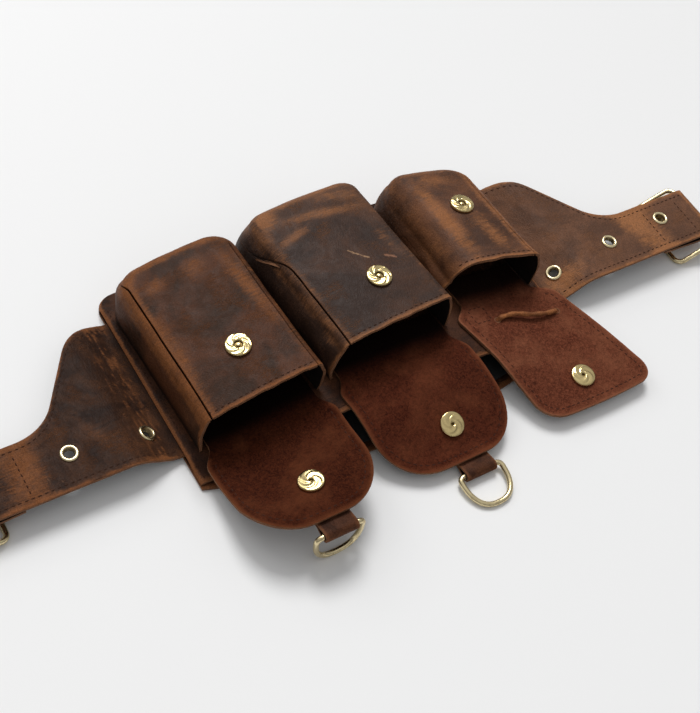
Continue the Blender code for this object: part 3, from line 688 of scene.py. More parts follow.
def addStitches(name, places, material):
    # Each stitch is a short thread, thick in its middle, whose ends dip into the leather
    points, faces = [], []
    count, sides = len(stitch["sections"]), stitch["sides"]
    band = flipped(bandFaces(count, sides) + endFaces(count, sides))
    for centre, along, normal in places:
        across = normal.cross(along)
        start = len(points)
        for share, size in zip(stitch["sections"], stitch["fullness"]):
            middle = centre + along * (share * stitch["length"] / 2.0)
            middle -= normal * (stitch["sink"] * abs(share) ** 3)
            for turn in fullTurn(sides):
                points.append(middle + across * (math.cos(turn) * stitch["width"] * size)
                              + normal * (math.sin(turn) * stitch["height"] * size))
        faces += [tuple(start + k for k in face) for face in band]
    tones = [0.0] * len(points)
    return addSolid(name, points, faces, tones, [material], "bag", (), stitch["sharp"])


def insetLine(points, distance):
    # A polyline moved to its left by a distance
    moved = []
    for i, (x, y) in enumerate(points):
        x0, y0 = points[max(i - 1, 0)]
        x1, y1 = points[min(i + 1, len(points) - 1)]
        length = math.hypot(x1 - x0, y1 - y0) or 1.0
        moved.append((x - (y1 - y0) / length * distance, y + (x1 - x0) / length * distance))
    return moved


# The back pocket: rear wall, lining, arched front wall with its side strips

frontLow, frontHigh = boxOf("pocket_front")
bag = {
    "leather": 2.0,
    "gap": 0.4,
    "half": frontHigh[0],
    "strip": 8.0,
    "hem": frontLow[1],
    "farEdge": frontHigh[1],
    "farRadius": 10.0,
    "farSeam": 8.0,
    "corner": -67.0,
    "bow": 19.0,
    "rise": 16.4,
    "power": 2.2,
    "seamRamp": 12.0,
    "seamClear": 3.0,
    "edgeRound": 2.6,
    "liningInset": 6.0,
    "liningFar": 24.0,
    "liningThick": 0.5,
    "rearStitch": 3.6,
    "sideStitch": 3.4,
    "hemStitch": 3.2,
    "insets": (0.0, 0.4, 1.0, 1.8, 2.8, 4.0, 5.4, 6.8),
}
archHalf = bag["half"] - bag["strip"]
wingNear = boxOf("wing_right")[0][1]
wingFar = boxOf("wing_right")[1][1]


def archUnder(x, y):
    beside = smooth(wingNear - bag["seamRamp"], wingNear - bag["seamClear"], y)
    beside *= 1.0 - smooth(wingFar + bag["seamRamp"] - bag["seamClear"], wingFar + bag["seamRamp"], y)
    beside *= smooth(flapShape["hold"] * archHalf, archHalf, abs(x))
    layer = bag["leather"] + bag["gap"]
    across = max(0.0, 1.0 - abs(x / archHalf) ** bag["power"])
    back = min(max((y - bag["hem"]) / (bag["farEdge"] - bag["farSeam"] - bag["hem"]), 0.0), 1.0)
    return layer + layer * beside + bag["rise"] * across * (1.0 - back * back)


def archTop(x, y):
    return archUnder(x, y) + bag["leather"]


def frontHalf(y):
    beyond = min(max(y - (bag["farEdge"] - bag["farRadius"]), 0.0), bag["farRadius"])
    return bag["half"] - bag["farRadius"] + math.sqrt(bag["farRadius"] ** 2 - beyond ** 2)


def rearFront(x):
    return bag["corner"] - bag["bow"] * (1.0 - abs(x / bag["half"]) ** bag["power"])


def circleDrop(inset, radius):
    if inset >= radius:
        return 0.0
    return radius - math.sqrt(radius ** 2 - (radius - inset) ** 2)


def hideOf(face, back="inside"):
    return [materials[face], materials[back], materials["edge"]]


def makeRearWall():
    rows = []
    inner = bag["half"] - bag["farRadius"]
    corner = [inner + bag["farRadius"] * math.cos(math.radians(turn)) for turn in range(0, 90, 15)]
    columns = [-x for x in corner] + spread(-inner, inner, 60) + corner[::-1]
    for share in spread(0.0, 1.0, 40):
        row = []
        for x in columns:
            over = max(abs(x) - inner, 0.0)
            far = bag["farEdge"] - bag["farRadius"] + math.sqrt(max(bag["farRadius"] ** 2 - over ** 2, 0.0))
            near = rearFront(x)
            y = near + (far - near) * share
            wear = 0.8 * math.exp(-(y - near) / 4.0) + 0.25 * max(0.0, wobble(x, y, 30.0, 2.0))
            row.append((Vector((x, y, bag["leather"])), wear, 0.0))
        rows.append(row)
    addSheet("rearWall", rows, hideOf("front", "front"), ["back_panel"])
    stretch = bag["half"] - 5.0
    near = [(x, rearFront(x) + bag["rearStitch"]) for x in spread(-stretch, stretch, 60)]
    addStitches("rearWallStitches", stitchRow("rearWall", near), materials["thread"])


def makeLining():
    half = archHalf - bag["liningInset"]
    level = bag["leather"] + bag["gap"] + bag["liningThick"]
    rows = []
    for share in spread(0.0, 1.0, 24):
        row = []
        for x in spread(-half, half, 48):
            near = rearFront(x) + bag["liningInset"]
            far = bag["farEdge"] - bag["liningFar"]
            y = near + (far - near) * share
            lift = 0.5 * max(0.0, wobble(x, y, 22.0, 5.0)) * math.sin(math.pi * share)
            row.append((Vector((x, y, level + lift)), 0.0, 0.0))
        rows.append(row)
    cloth = addSheet("pocketLining", rows, [materials["cloth"]] * 3, ["pocket_lining"], "lining_cloth",
                     thick=bag["liningThick"], edgeRound=0.05)


def makeFrontWall():
    rows = []
    depths = spread(bag["hem"], bag["farEdge"] - bag["farRadius"], 56)
    for turn in range(12, 91, 13):
        depths.append(bag["farEdge"] - bag["farRadius"] * (1.0 - math.sin(math.radians(turn))))
    insets = bag["insets"]
    for y in depths:
        half = frontHalf(y)
        columns = [-half + inset for inset in insets]
        columns += spread(-half + bag["strip"], half - bag["strip"], 84)
        columns += [half - inset for inset in reversed(insets)]
        row = []
        for x in columns:
            side = half - abs(x)
            level = archTop(x, y) - min(circleDrop(side + 0.15, bag["edgeRound"]), 1.5)
            if side < bag["strip"]:
                level += 0.35 * wobble(x, y, 9.0, 4.0) * math.sin(math.pi * side / bag["strip"])
            wear = 0.95 * fade(side, 1.8) + 0.8 * math.exp(-(y - bag["hem"]) / 2.5)
            wear += 0.35 * max(0.0, wobble(x, y, 8.0, 7.0))
            row.append((Vector((x, y, level)), wear, 0.0))
        rows.append(row)
    addSheet("frontWall", rows, hideOf("front"), ["pocket_front"])
    places = []
    for side in (-1.0, 1.0):
        depths = spread(bag["hem"] + 1.5, bag["farEdge"] - 12.0, 40)
        places += stitchRow("frontWall", [(side * (frontHalf(y) - bag["sideStitch"]), y) for y in depths])
    hem = bag["hem"] + bag["hemStitch"]
    places += stitchRow("frontWall", [(x, hem) for x in spread(-archHalf, archHalf, 80)])
    addStitches("frontWallStitches", places, materials["thread"])


# Pouches: a top panel turned down over its edges to a seam, and a wall below it. Values in threes are
# for the left side, the far end and the right side

pouches = [
    {"width": 73.0, "length": 108.0, "depth": 27.5, "mouth": -47.5, "slant": 1.0, "corner": 15.0,
     "tilt": -7.0, "yaw": 2.0, "skew": 2.0, "edge": (4.5, 7.5, 4.0), "groove": (1.0, 0.0, 0.5),
     "skirt": (0.5, 15.0, 0.5), "turnOver": 1.0, "rubEdges": (0.62, 0.62, 0.35), "bulge": (1.6, 3.0, 2.2),
     "gape": 1.4, "flare": 0.8, "seed": 3.0,
     "rubs": [{"at": (-58.0, 18.0), "size": (6.5, 40.0), "turn": 8.0, "strength": 0.62},
              {"at": (-104.0, 40.0), "size": (9.0, 6.0), "turn": 30.0, "strength": 0.6},
              {"at": (-80.0, 42.0), "size": (14.0, 9.0), "turn": 60.0, "strength": 0.42},
              {"at": (-112.0, -5.0), "size": (5.0, 40.0), "turn": 2.0, "strength": 0.5}]},
    {"width": 82.0, "length": 105.0, "depth": 29.0, "mouth": -41.5, "slant": 3.5, "corner": 12.0,
     "tilt": 0.0, "yaw": 4.0, "skew": 4.0, "edge": (5.5, 9.5, 4.5), "groove": (0.9, 0.0, 0.0),
     "skirt": (0.5, 17.0, 9.0), "turnOver": 0.86, "rubEdges": (0.40, 0.60, 0.25), "bulge": (2.8, 3.4, 2.0),
     "gape": 0.8, "flare": 0.8, "seed": 8.0,
     "rubs": [{"at": (-31.0, 55.0), "size": (10.0, 12.0), "turn": 0.0, "strength": 0.95},
              {"at": (2.0, 43.0), "size": (34.0, 4.0), "turn": -6.0, "strength": 0.62},
              {"at": (-22.0, 33.0), "size": (15.0, 4.0), "turn": 14.0, "strength": 0.60},
              {"at": (20.0, 52.0), "size": (18.0, 6.0), "turn": -10.0, "strength": 0.55},
              {"at": (30.0, 10.0), "size": (6.0, 22.0), "turn": 12.0, "strength": 0.40}]},
    {"width": 58.0, "length": 82.0, "depth": 28.5, "mouth": -23.0, "slant": 1.5, "corner": 14.0, "tilt": 5.0,
     "yaw": 2.5, "skew": -8.0, "edge": (13.0, 9.0, 3.2), "groove": (0.0, 0.0, 0.4),
     "skirt": (17.0, 15.0, 0.5), "turnOver": 1.0, "rubEdges": (0.30, 0.48, 0.55), "bulge": (2.5, 3.0, 2.0),
     "gape": 2.4, "flare": 2.6, "seed": 13.0,
     "rubs": [{"at": (76.0, 16.0), "size": (6.5, 38.0), "turn": 4.0, "strength": 0.72},
              {"at": (98.0, -2.0), "size": (8.0, 24.0), "turn": 10.0, "strength": 0.55},
              {"at": (86.0, 45.0), "size": (18.0, 7.0), "turn": -10.0, "strength": 0.45}]},
]
pouchShape = {"spaces": (10.0, 14.0), "pitch": -0.5, "crown": 2.6, "seam": 4.6, "lip": 0.5,
              "grooveDepth": 1.3, "grooveDark": 0.62, "mouthStitch": 3.0, "mouthLip": 1.4, "flareReach": 16.0,
              "skin": 1.8, "footGap": 0.35, "skirtSteps": 14, "wallSteps": 22, "widthSteps": 54,
              "lengthSteps": 50}


def pouchMiddle(index):
    before = sum(item["width"] for item in pouches[:index]) + sum(pouchShape["spaces"][:index])
    return -archHalf + before + pouches[index]["width"] / 2.0


def pouchPlace(index, across, back):
    pouch = pouches[index]
    turn = math.radians(pouch["yaw"])
    x = pouchMiddle(index) + across * math.cos(turn) - back * math.sin(turn)
    return x, pouch["mouth"] + across * math.sin(math.radians(pouch["skew"])) + back * math.cos(turn)


def pouchSkin(index, across, back):
    # Height of the top before its edges are rounded: tilt, crown, gaping mouth and soft dents
    pouch = pouches[index]
    share = across / (pouch["width"] / 2.0 - pouch["slant"])
    x, y = pouchPlace(index, across, back)
    level = archTop(*pouchPlace(index, 0.0, 0.0)) + pouch["depth"] + 0.1
    level -= math.tan(math.radians(pouch["tilt"])) * across
    level += math.tan(math.radians(pouchShape["pitch"])) * back
    level += pouchShape["crown"] * max(0.0, 1.0 - share * share) * (0.6 + 0.4 * smooth(0.0, 30.0, back))
    level += pouch["gape"] * math.exp(-back / 16.0) * max(0.0, 1.0 - share * share)
    level += 0.75 * wobble(x, y, 34.0, pouch["seed"]) + 0.28 * wobble(x, y, 11.0, pouch["seed"] + 1.0)
    return level


def insetOf(index, across, back):
    pouch = pouches[index]
    half = pouch["width"] / 2.0 - pouch["slant"]
    radius = pouch["corner"]
    over = abs(across) - (half - radius)
    beyond = back - (pouch["length"] - radius)
    if over > 0.0 and beyond > 0.0:
        return radius - math.hypot(over, beyond), math.degrees(math.atan2(beyond, over))
    if half - abs(across) < pouch["length"] - back:
        return half - abs(across), 0.0
    return pouch["length"] - back, 90.0


def bySide(values, across, turn):
    # Blends (left, far, right) values by where a point lies: turn is 0 at the sides and 90 at the far end
    side = values[0] if across < 0.0 else values[2]
    return side + (values[1] - side) * turn / 90.0


def pouchTop(index, across, back):
    inset, turn = insetOf(index, across, back)
    return pouchSkin(index, across, back) - circleDrop(inset, bySide(pouches[index]["edge"], across, turn))


def rubAt(rubs, x, y):
    most = 0.0
    for rub in rubs:
        dx, dy = x - rub["at"][0], y - rub["at"][1]
        turn = math.radians(rub["turn"])
        u = (dx * math.cos(turn) + dy * math.sin(turn)) / rub["size"][0]
        v = (-dx * math.sin(turn) + dy * math.cos(turn)) / rub["size"][1]
        most = max(most, rub["strength"] * math.exp(-(u * u + v * v)))
    return most


def pouchWear(index, across, back):
    pouch = pouches[index]
    x, y = pouchPlace(index, across, back)
    inset, turn = insetOf(index, across, back)
    edge = bySide(pouch["rubEdges"], across, turn) * fade(max(inset - pouchShape["seam"], 0.0), 4.0)
    mouth = 0.75 * fade(back, 2.6)
    return max(edge, mouth, rubAt(pouch["rubs"], x, y)) + 0.10 * wobble(x, y, 14.0, 21.0)


def markOf(index, across, back):
    # The place on the outline that a point near the edge belongs to: its kind, side and share
    pouch = pouches[index]
    half = pouch["width"] / 2.0 - pouch["slant"]
    side = -1.0 if across < 0.0 else 1.0
    over = abs(across) - (half - pouch["corner"])
    beyond = back - (pouch["length"] - pouch["corner"])
    if beyond <= 0.0:
        return "side", side, back / (pouch["length"] - pouch["corner"])
    if over <= 0.0:
        return "far", 0.0, across / (half - pouch["corner"])
    return "arc", side, math.degrees(math.atan2(beyond, over))


def outlinePoint(index, mark, inset, lean):
    # A point round the pouch's sides and far end; lean is 0 at the top and 1 at the foot
    pouch = pouches[index]
    kind, side, share = mark
    half = pouch["width"] / 2.0 - pouch["slant"] * (1.0 - lean) - inset
    length = pouch["length"] + pouch["slant"] * lean - inset
    radius = pouch["corner"] - inset
    if kind == "side":
        return side * half, (length - radius) * share
    if kind == "arc":
        out, up = onCircle(radius, math.radians(share))
        return side * (half - radius + out), length - radius + up
    return (half - radius) * share, length


def skinPlace(index, across, back):
    # Plan place with the mouth's ragged edge and its sides pulled open
    pouch = pouches[index]
    near = math.exp(-back / pouchShape["flareReach"])
    ragged = 0.9 * wobble(across, 0.0, 9.0, pouch["seed"] + 4.0) * math.exp(-back / 5.0)
    x, y = pouchPlace(index, across * (1.0 + 2.0 * pouch["flare"] * near / pouch["width"]), back)
    return x, y + ragged


def markSide(values, mark):
    kind, side, share = mark
    if kind == "far":
        return values[1]
    outer = values[0] if side < 0.0 else values[2]
    return outer + (values[1] - outer) * (smooth(0.0, 90.0, share) if kind == "arc" else 0.0)


def skirtOf(index, mark):
    # How far the panel reaches past its flat top before the seam
    pouch = pouches[index]
    kind, side, share = mark
    length = markSide(pouch["skirt"], mark)
    if side < 0.0 and pouch["turnOver"] < 1.0:
        if kind == "arc":
            return pouch["skirt"][1]
        length += (pouch["skirt"][1] - length) * smooth(pouch["turnOver"] - 0.25, 1.0, share)
    return length


def grooveOf(index, mark):
    # How deep the seam is there: 0 for none, 1 for the full depth
    pouch = pouches[index]
    kind, side, share = mark
    groove = markSide(pouch["groove"], mark)
    if side < 0.0 and pouch["turnOver"] < 1.0:
        place = share if kind == "side" else 1.0
        groove *= 1.0 - smooth(pouch["turnOver"] - 0.2, pouch["turnOver"] + 0.3, place)
    return groove


def grooveShade(groove):
    return pouchShape["grooveDark"] * min(1.0, groove * 1.4)


def edgeLength(index, mark):
    radius = markSide(pouches[index]["edge"], mark)
    seam = pouchShape["seam"]
    start = math.pi / 2.0 if seam >= radius else math.acos(1.0 - seam / radius)
    feet = [outlinePoint(index, mark, inset, 1.0) for inset in (0.0, bag["leather"])]
    foot = max(archTop(*pouchPlace(index, *place)) for place in feet) + pouchShape["footGap"]
    head = pouchSkin(index, *outlinePoint(index, mark, 0.0, 0.0)) - radius
    return max(seam - radius, 0.0), start, radius, foot, head


def edgePoint(index, mark, along):
    # A point on the pouch's skin, a distance outward and down from the rim of its flat top
    pouch = pouches[index]
    flat, start, radius, foot, head = edgeLength(index, mark)
    if along < flat + radius * start:
        inset = pouchShape["seam"] - along
        if along > flat:
            inset = radius * (1.0 - math.cos(start - (along - flat) / radius))
        across, back = outlinePoint(index, mark, inset, 0.0)
        x, y = skinPlace(index, across, back)
        return Vector((x, y, pouchSkin(index, across, back) - circleDrop(inset, radius))), 1.0
    step = 1.0 - min((along - flat - radius * start) / (head - foot), 1.0)
    puff = markSide(pouch["bulge"], mark) * math.sin(math.pi * step) ** 0.8
    x, y = pouchPlace(index, *outlinePoint(index, mark, 0.0, 1.0 - step))
    puff *= 1.0 + 0.55 * wobble(x + y, step * 30.0, 15.0, pouch["seed"])
    x, y = skinPlace(index, *outlinePoint(index, mark, -puff, 1.0 - step))
    return Vector((x, y, foot + (head - foot) * step)), step


def edgeEntry(index, mark, along, drop=0.0, dark=0.0):
    pouch = pouches[index]
    place, step = edgePoint(index, mark, along)
    mouth = mark[2] if mark[0] == "side" else 1.0
    wear = markSide(pouch["rubEdges"], mark) * smooth(0.72, 1.0, step)
    wear = max(wear, 0.8 * fade(mouth, 1.0 / 40.0))
    wear += 0.22 * wobble(place.x * 2.0 + place.y, place.z * 2.0, 12.0, 3.0)
    # The wall is darkened towards its foot: painted shade where it meets the pocket's front
    dark = max(dark, 0.8 * (1.0 - smooth(0.0, 0.55, step)))
    return Vector((place.x, place.y, place.z - drop)), wear, dark


def pouchMarks():
    marks = [("side", -1.0, share) for share in spread(0.0, 1.0, 52)]
    marks += [("arc", -1.0, turn) for turn in spread(0.0, 90.0, 12)[1:]]
    marks += [("far", 0.0, share) for share in spread(-1.0, 1.0, 26)[1:-1]]
    marks += [("arc", 1.0, turn) for turn in spread(90.0, 0.0, 12)[:-1]]
    marks += [("side", 1.0, share) for share in spread(1.0, 0.0, 52)]
    return marks


def makePouchWall(index):
    lip = pouchShape["lip"]
    rows = [[] for row in range(pouchShape["wallSteps"] + 2)]
    for mark in pouchMarks():
        groove = grooveOf(index, mark)
        flat, start, radius, foot, head = edgeLength(index, mark)
        first = skirtOf(index, mark) + 0.04 + lip * groove / 2.0
        total = flat + radius * start + head - foot
        rows[0].append(edgeEntry(index, mark, first, pouchShape["grooveDepth"] * groove, grooveShade(groove)))
        for i, along in enumerate(spread(first + 1.2 * lip, total, pouchShape["wallSteps"])):
            rows[i + 1].append(edgeEntry(index, mark, along))
    x, y = pouchPlace(index, 0.0, pouches[index]["length"] / 2.0)
    number = index + 1
    addSheet(f"pouchWall{number}", rows, hideOf(f"pouch{number}"), [f"pouch_gusset_{number}"],
             away=Vector((x, y, bag["rise"])), thick=pouchShape["skin"])


def makePouchPanel(index):
    # A flat grid inside the rim, then rings of points round three of its sides, down to the seam
    pouch = pouches[index]
    seam, lip = pouchShape["seam"], pouchShape["lip"]
    half = pouch["width"] / 2.0 - pouch["slant"]
    corner, length = pouch["corner"], pouch["length"]
    backs = spread(0.0, pouchShape["mouthLip"], 3)
    backs += spread(pouchShape["mouthLip"], length - corner, pouchShape["lengthSteps"])[1:]
    backs += [length - corner + (corner - seam) * math.sin(math.radians(turn)) for turn in range(9, 91, 9)]
    rows, spots = [], []
    for back in backs:
        over = max(0.0, back - (length - corner))
        edge = half - corner + math.sqrt(max(0.0, (corner - seam) ** 2 - over ** 2))
        row = []
        for across in spread(-edge, edge, pouchShape["widthSteps"]):
            x, y = skinPlace(index, across, back)
            row.append((Vector((x, y, pouchTop(index, across, back))), pouchWear(index, across, back), 0.0))
            spots.append((across, back))
        rows.append(row)
    flat, faces = gridOf(rows)
    width, height = len(rows[0]), len(rows)
    last = [i * width for i in range(height)]
    last += [(height - 1) * width + j for j in range(1, width - 1)]
    last += [i * width + width - 1 for i in reversed(range(height))]
    marks = [markOf(index, *spots[k]) for k in last]
    for step in range(1, pouchShape["skirtSteps"] + 1):
        atSeam = step == pouchShape["skirtSteps"]
        ring = []
        for mark in marks:
            groove = grooveOf(index, mark)
            along = (skirtOf(index, mark) - lip * groove / 2.0) * step / pouchShape["skirtSteps"]
            drop = pouchShape["grooveDepth"] * groove if atSeam else 0.0
            ring.append(len(flat))
            flat.append(edgeEntry(index, mark, along, drop, grooveShade(groove) if atSeam else 0.0))
        faces += [(a, b, d, c) for a, b, c, d in zip(last, last[1:], ring, ring[1:])]
        last = ring
    x, y = pouchPlace(index, 0.0, length / 2.0)
    number = index + 1
    sheet = f"pouchPanel{number}"
    addSkin(sheet, flat, faces, hideOf(f"pouch{number}"), [f"pouch_panel_{number}"], "outer_leather",
            away=Vector((x, y, 0.0)), thick=pouchShape["skin"])
    ends = half - 2.0
    line = [pouchPlace(index, across, pouchShape["mouthStitch"]) for across in spread(-ends, ends, 60)]
    addStitches(f"pouchStitches{number}", stitchRow(sheet, line), materials["thread"])


# Flaps: suede side up, folded open over the pocket's front

flaps = [
    {"front": -119.5, "shift": 0.0, "back": 39.5, "fore": 39.5, "corner": 29.0, "lift": 24.8, "seed": 31.0},
    {"front": -114.5, "shift": 7.0, "back": 43.5, "fore": 43.5, "corner": 28.0, "lift": 6.0, "seed": 37.0},
    {"front": -116.5, "shift": 23.0, "back": 37.0, "fore": 41.0, "corner": 13.0, "lift": 7.0, "seed": 41.0,
     "box": ((65.0, -45.5), (76.0, -34.5))},
]
flapShape = {"tuck": 14.0, "room": 1.6, "bow": 2.0, "spread": 12.0, "hold": 0.85, "stitch": 4.6, "hidden": 12,
             "looseFar": (-4.0, 20.0), "looseNear": (4.0, 26.0), "rim": 1.1}


def flapStart(index):
    pouch = pouches[index]
    slant = pouch["width"] / 2.0 * math.sin(abs(math.radians(pouch["skew"])))
    return pouch["mouth"] - slant - flapShape["room"]


def flapMiddle(index, y):
    start = flapStart(index)
    share = max(0.0, (start - y) / (start - flaps[index]["front"]))
    back = max(0.0, y - pouches[index]["mouth"])
    return pouchPlace(index, 0.0, back)[0] + flaps[index]["shift"] * share


def flapHalf(index, y):
    flap = flaps[index]
    start = flapStart(index)
    inside = pouches[index]["width"] / 2.0 - bag["leather"] - flapShape["room"]
    share = min(max((start - y) / (start - flap["front"]), 0.0), 1.0)
    full = flap["back"] + (flap["fore"] - flap["back"]) * share
    return inside + (full - inside) * smooth(0.0, flapShape["spread"], start - y)


def flapCorner(index, side, turn):
    flap = flaps[index]
    out, up = onCircle(flap["corner"], math.radians(turn))
    y = flap["front"] + flap["corner"] - up
    full = flapHalf(index, y)
    half = full - flap["corner"] + out
    bow = flapShape["bow"] * (1.0 - (half / full) ** 2)
    return Vector((flapMiddle(index, y) + side * half, y - bow))


def flapUnder(index, x, y):
    flap = flaps[index]
    held = min(max(x, -flapShape["hold"] * archHalf), flapShape["hold"] * archHalf)
    if y >= bag["hem"]:
        return archTop(held, y) + bag["gap"]
    edge = archTop(held, bag["hem"]) + bag["gap"]
    return edge + (flap["lift"] - edge) * smooth(bag["hem"], flap["front"], y)


def patch(near, far, left, right):
    # A grid of points inside four edges (a Coons patch)
    rows = []
    for i, (a, b) in enumerate(zip(left, right)):
        v = i / (len(left) - 1)
        row = []
        for j, (c, d) in enumerate(zip(near, far)):
            u = j / (len(near) - 1)
            nearCorners = near[0] * (1.0 - u) + near[-1] * u
            farCorners = far[0] * (1.0 - u) + far[-1] * u
            corners = nearCorners * (1.0 - v) + farCorners * v
            row.append(a * (1.0 - u) + b * u + c * (1.0 - v) + d * v - corners)
        rows.append(row)
    return rows


def lineDistance(x, y, line):
    nearest = reach
    for (x0, y0), (x1, y1) in zip(line, line[1:]):
        run, rise = x1 - x0, y1 - y0
        share = ((x - x0) * run + (y - y0) * rise) / (run * run + rise * rise or 1.0)
        share = min(max(share, 0.0), 1.0)
        nearest = min(nearest, math.hypot(x - x0 - run * share, y - y0 - rise * share))
    return nearest


def makeFlap(index):
    flap = flaps[index]
    back = pouches[index]["mouth"] + flapShape["tuck"]
    start = flapStart(index)
    straight = start - flapShape["spread"]
    levels = spread(flap["front"] + flap["corner"], straight, 22) + spread(straight, back, 14)[1:]
    sides = []
    for side in (-1.0, 1.0):
        line = [flapCorner(index, side, turn) for turn in spread(45.0, 7.5, 5)]
        sides.append(line + [Vector((flapMiddle(index, y) + side * flapHalf(index, y), y)) for y in levels])
    left, right = sides
    rounding = spread(45.0, 90.0, 6)
    near = [flapCorner(index, -1.0, turn) for turn in rounding]
    inner, other = near[-1], flapCorner(index, 1.0, 90.0)
    for share in spread(0.0, 1.0, 24)[1:-1]:
        x = inner.x + (other.x - inner.x) * share
        across = abs(x - flapMiddle(index, flap["front"])) / flapHalf(index, flap["front"])
        near.append(Vector((x, flap["front"] - flapShape["bow"] * (1.0 - across ** 2))))
    near += [flapCorner(index, 1.0, turn) for turn in reversed(rounding)]
    far = [left[-1] + (right[-1] - left[-1]) * share for share in spread(0.0, 1.0, len(near) - 1)]
    shown = len(left) - flapShape["hidden"]
    outline = [tuple(point) for point in left[:shown][::-1] + near[1:-1] + right[:shown]]
    rows = []
    for row in patch(near, far, left, right):
        line = []
        for x, y in row:
            loose = smooth(*(value - bag["hem"] for value in flapShape["looseFar"]), -y)
            loose *= smooth(*(value + flap["front"] for value in flapShape["looseNear"]), y)
            level = flapUnder(index, x, y) + bag["leather"]
            level += loose * (0.5 * wobble(x, y, 26.0, flap["seed"]) + 0.2 * wobble(x, y, 9.0, flap["seed"]))
            wear = fade(lineDistance(x, y, outline), flapShape["rim"])
            wear += 0.15 * max(0.0, wobble(x, y, 18.0, 9.0))
            # The shade value here is painted shade on the part tucked inside the pouch
            line.append((Vector((x, y, level)), wear, smooth(start - 9.0, start + 7.0, y)))
        rows.append(line)
    number = index + 1
    sheet = f"flap{number}"
    addSheet(sheet, rows, hideOf(f"suede{number}", "front"), [f"flap_{number}"], "flap_suede")
    places = stitchRow(sheet, insetLine(outline, flapShape["stitch"]))
    if "box" in flap:
        (x0, y0), (x1, y1) = flap["box"]
        corners = [(x0, y0), (x1, y0), (x1, y1), (x0, y1), (x0, y0)]
        for corner, following in zip(corners, corners[1:]):
            places += stitchRow(sheet, [corner, following])
    addStitches(f"flapStitches{number}", places, materials["flapThread"])


# Wings: shaped leather that rises off the floor, folded round a ring at its end

wing = {"lift": 11.5, "rise": 31.0, "strap": 38.0, "shoulderStart": 5.0, "shoulderLength": 75.0,
        "shoulderRadius": 36.0, "shoulderAngle": 56.0, "tuck": 6.0, "foldReturn": 40.0, "endWire": 1.6,
        "stitch": 4.0, "rim": 2.4}
wingReach = jointPlace("end_ring_right_swing").x - bag["half"]
wingBase = bag["leather"] * 1.5 + bag["gap"]
wingTop = wingBase + wing["lift"]
foldRadius = wing["endWire"] + bag["gap"] + bag["leather"] / 2.0
foldZ = wingTop - foldRadius
returnSlope = math.asin((2.0 * foldRadius - bag["leather"] - bag["gap"]) / wing["foldReturn"])
strapFar = wingNear + wing["strap"]


def shoulder(out):
    angle = math.radians(wing["shoulderAngle"])
    drop = wingFar - wingNear - wing["strap"]
    sine, cosine = math.sin(angle), math.cos(angle)
    radius = wing["shoulderRadius"]
    along = wing["shoulderLength"] - radius * sine
    down = drop - radius * (1.0 - cosine)
    line = (down * sine - along * (1.0 - cosine)) / (sine * sine - cosine * (1.0 - cosine))
    second = (along - line * cosine) / sine
    if out <= 0.0:
        return 0.0
    if out < radius * sine:
        return radius - math.sqrt(radius ** 2 - out ** 2)
    if out < radius * sine + line * cosine:
        return radius * (1.0 - cosine) + (out - radius * sine) * sine / cosine
    rest = wing["shoulderLength"] - out
    if rest <= 0.0:
        return drop
    return drop - (second - math.sqrt(second ** 2 - rest ** 2))


def wingLevel(out):
    return wingBase + wing["lift"] * smooth(bag["gap"], wing["rise"], out)


def wingFolds(side, out, y):
    return wobble(out * 2.4 + y * 0.35, y * 0.28, 6.5, 50.0 + side)


def wingRipple(side, out, y):
    # Fine wrinkles near the root, broader waves further out
    ripple = 0.6 * fade(out - 13.0, 13.0) * wingFolds(side, out, y)
    wave = 0.45 * smooth(2.0, 20.0, out) * wobble(out, y, 30.0, 60.0 + side)
    return (ripple + wave) * smooth(0.5, 7.0, out) * (1.0 - smooth(wingReach - 44.0, wingReach - 34.0, out))


def wingWear(label, side, out, x, y):
    finish = wingFinish[label]
    root = finish["rootWear"] * fade(out - 12.0, 12.0) * max(0.0, 0.7 - abs(wingFolds(side, out, y)) * 3.2)
    end = finish["endWear"] * fade(out - (wingReach - wing["foldReturn"]), 14.0)
    return root + end + 0.6 * smooth(wingReach - 3.0, wingReach, out) + rubAt(finish["rubs"], x, y)


def wingShoulder(out):
    return wingFar - shoulder(out - wing["shoulderStart"])


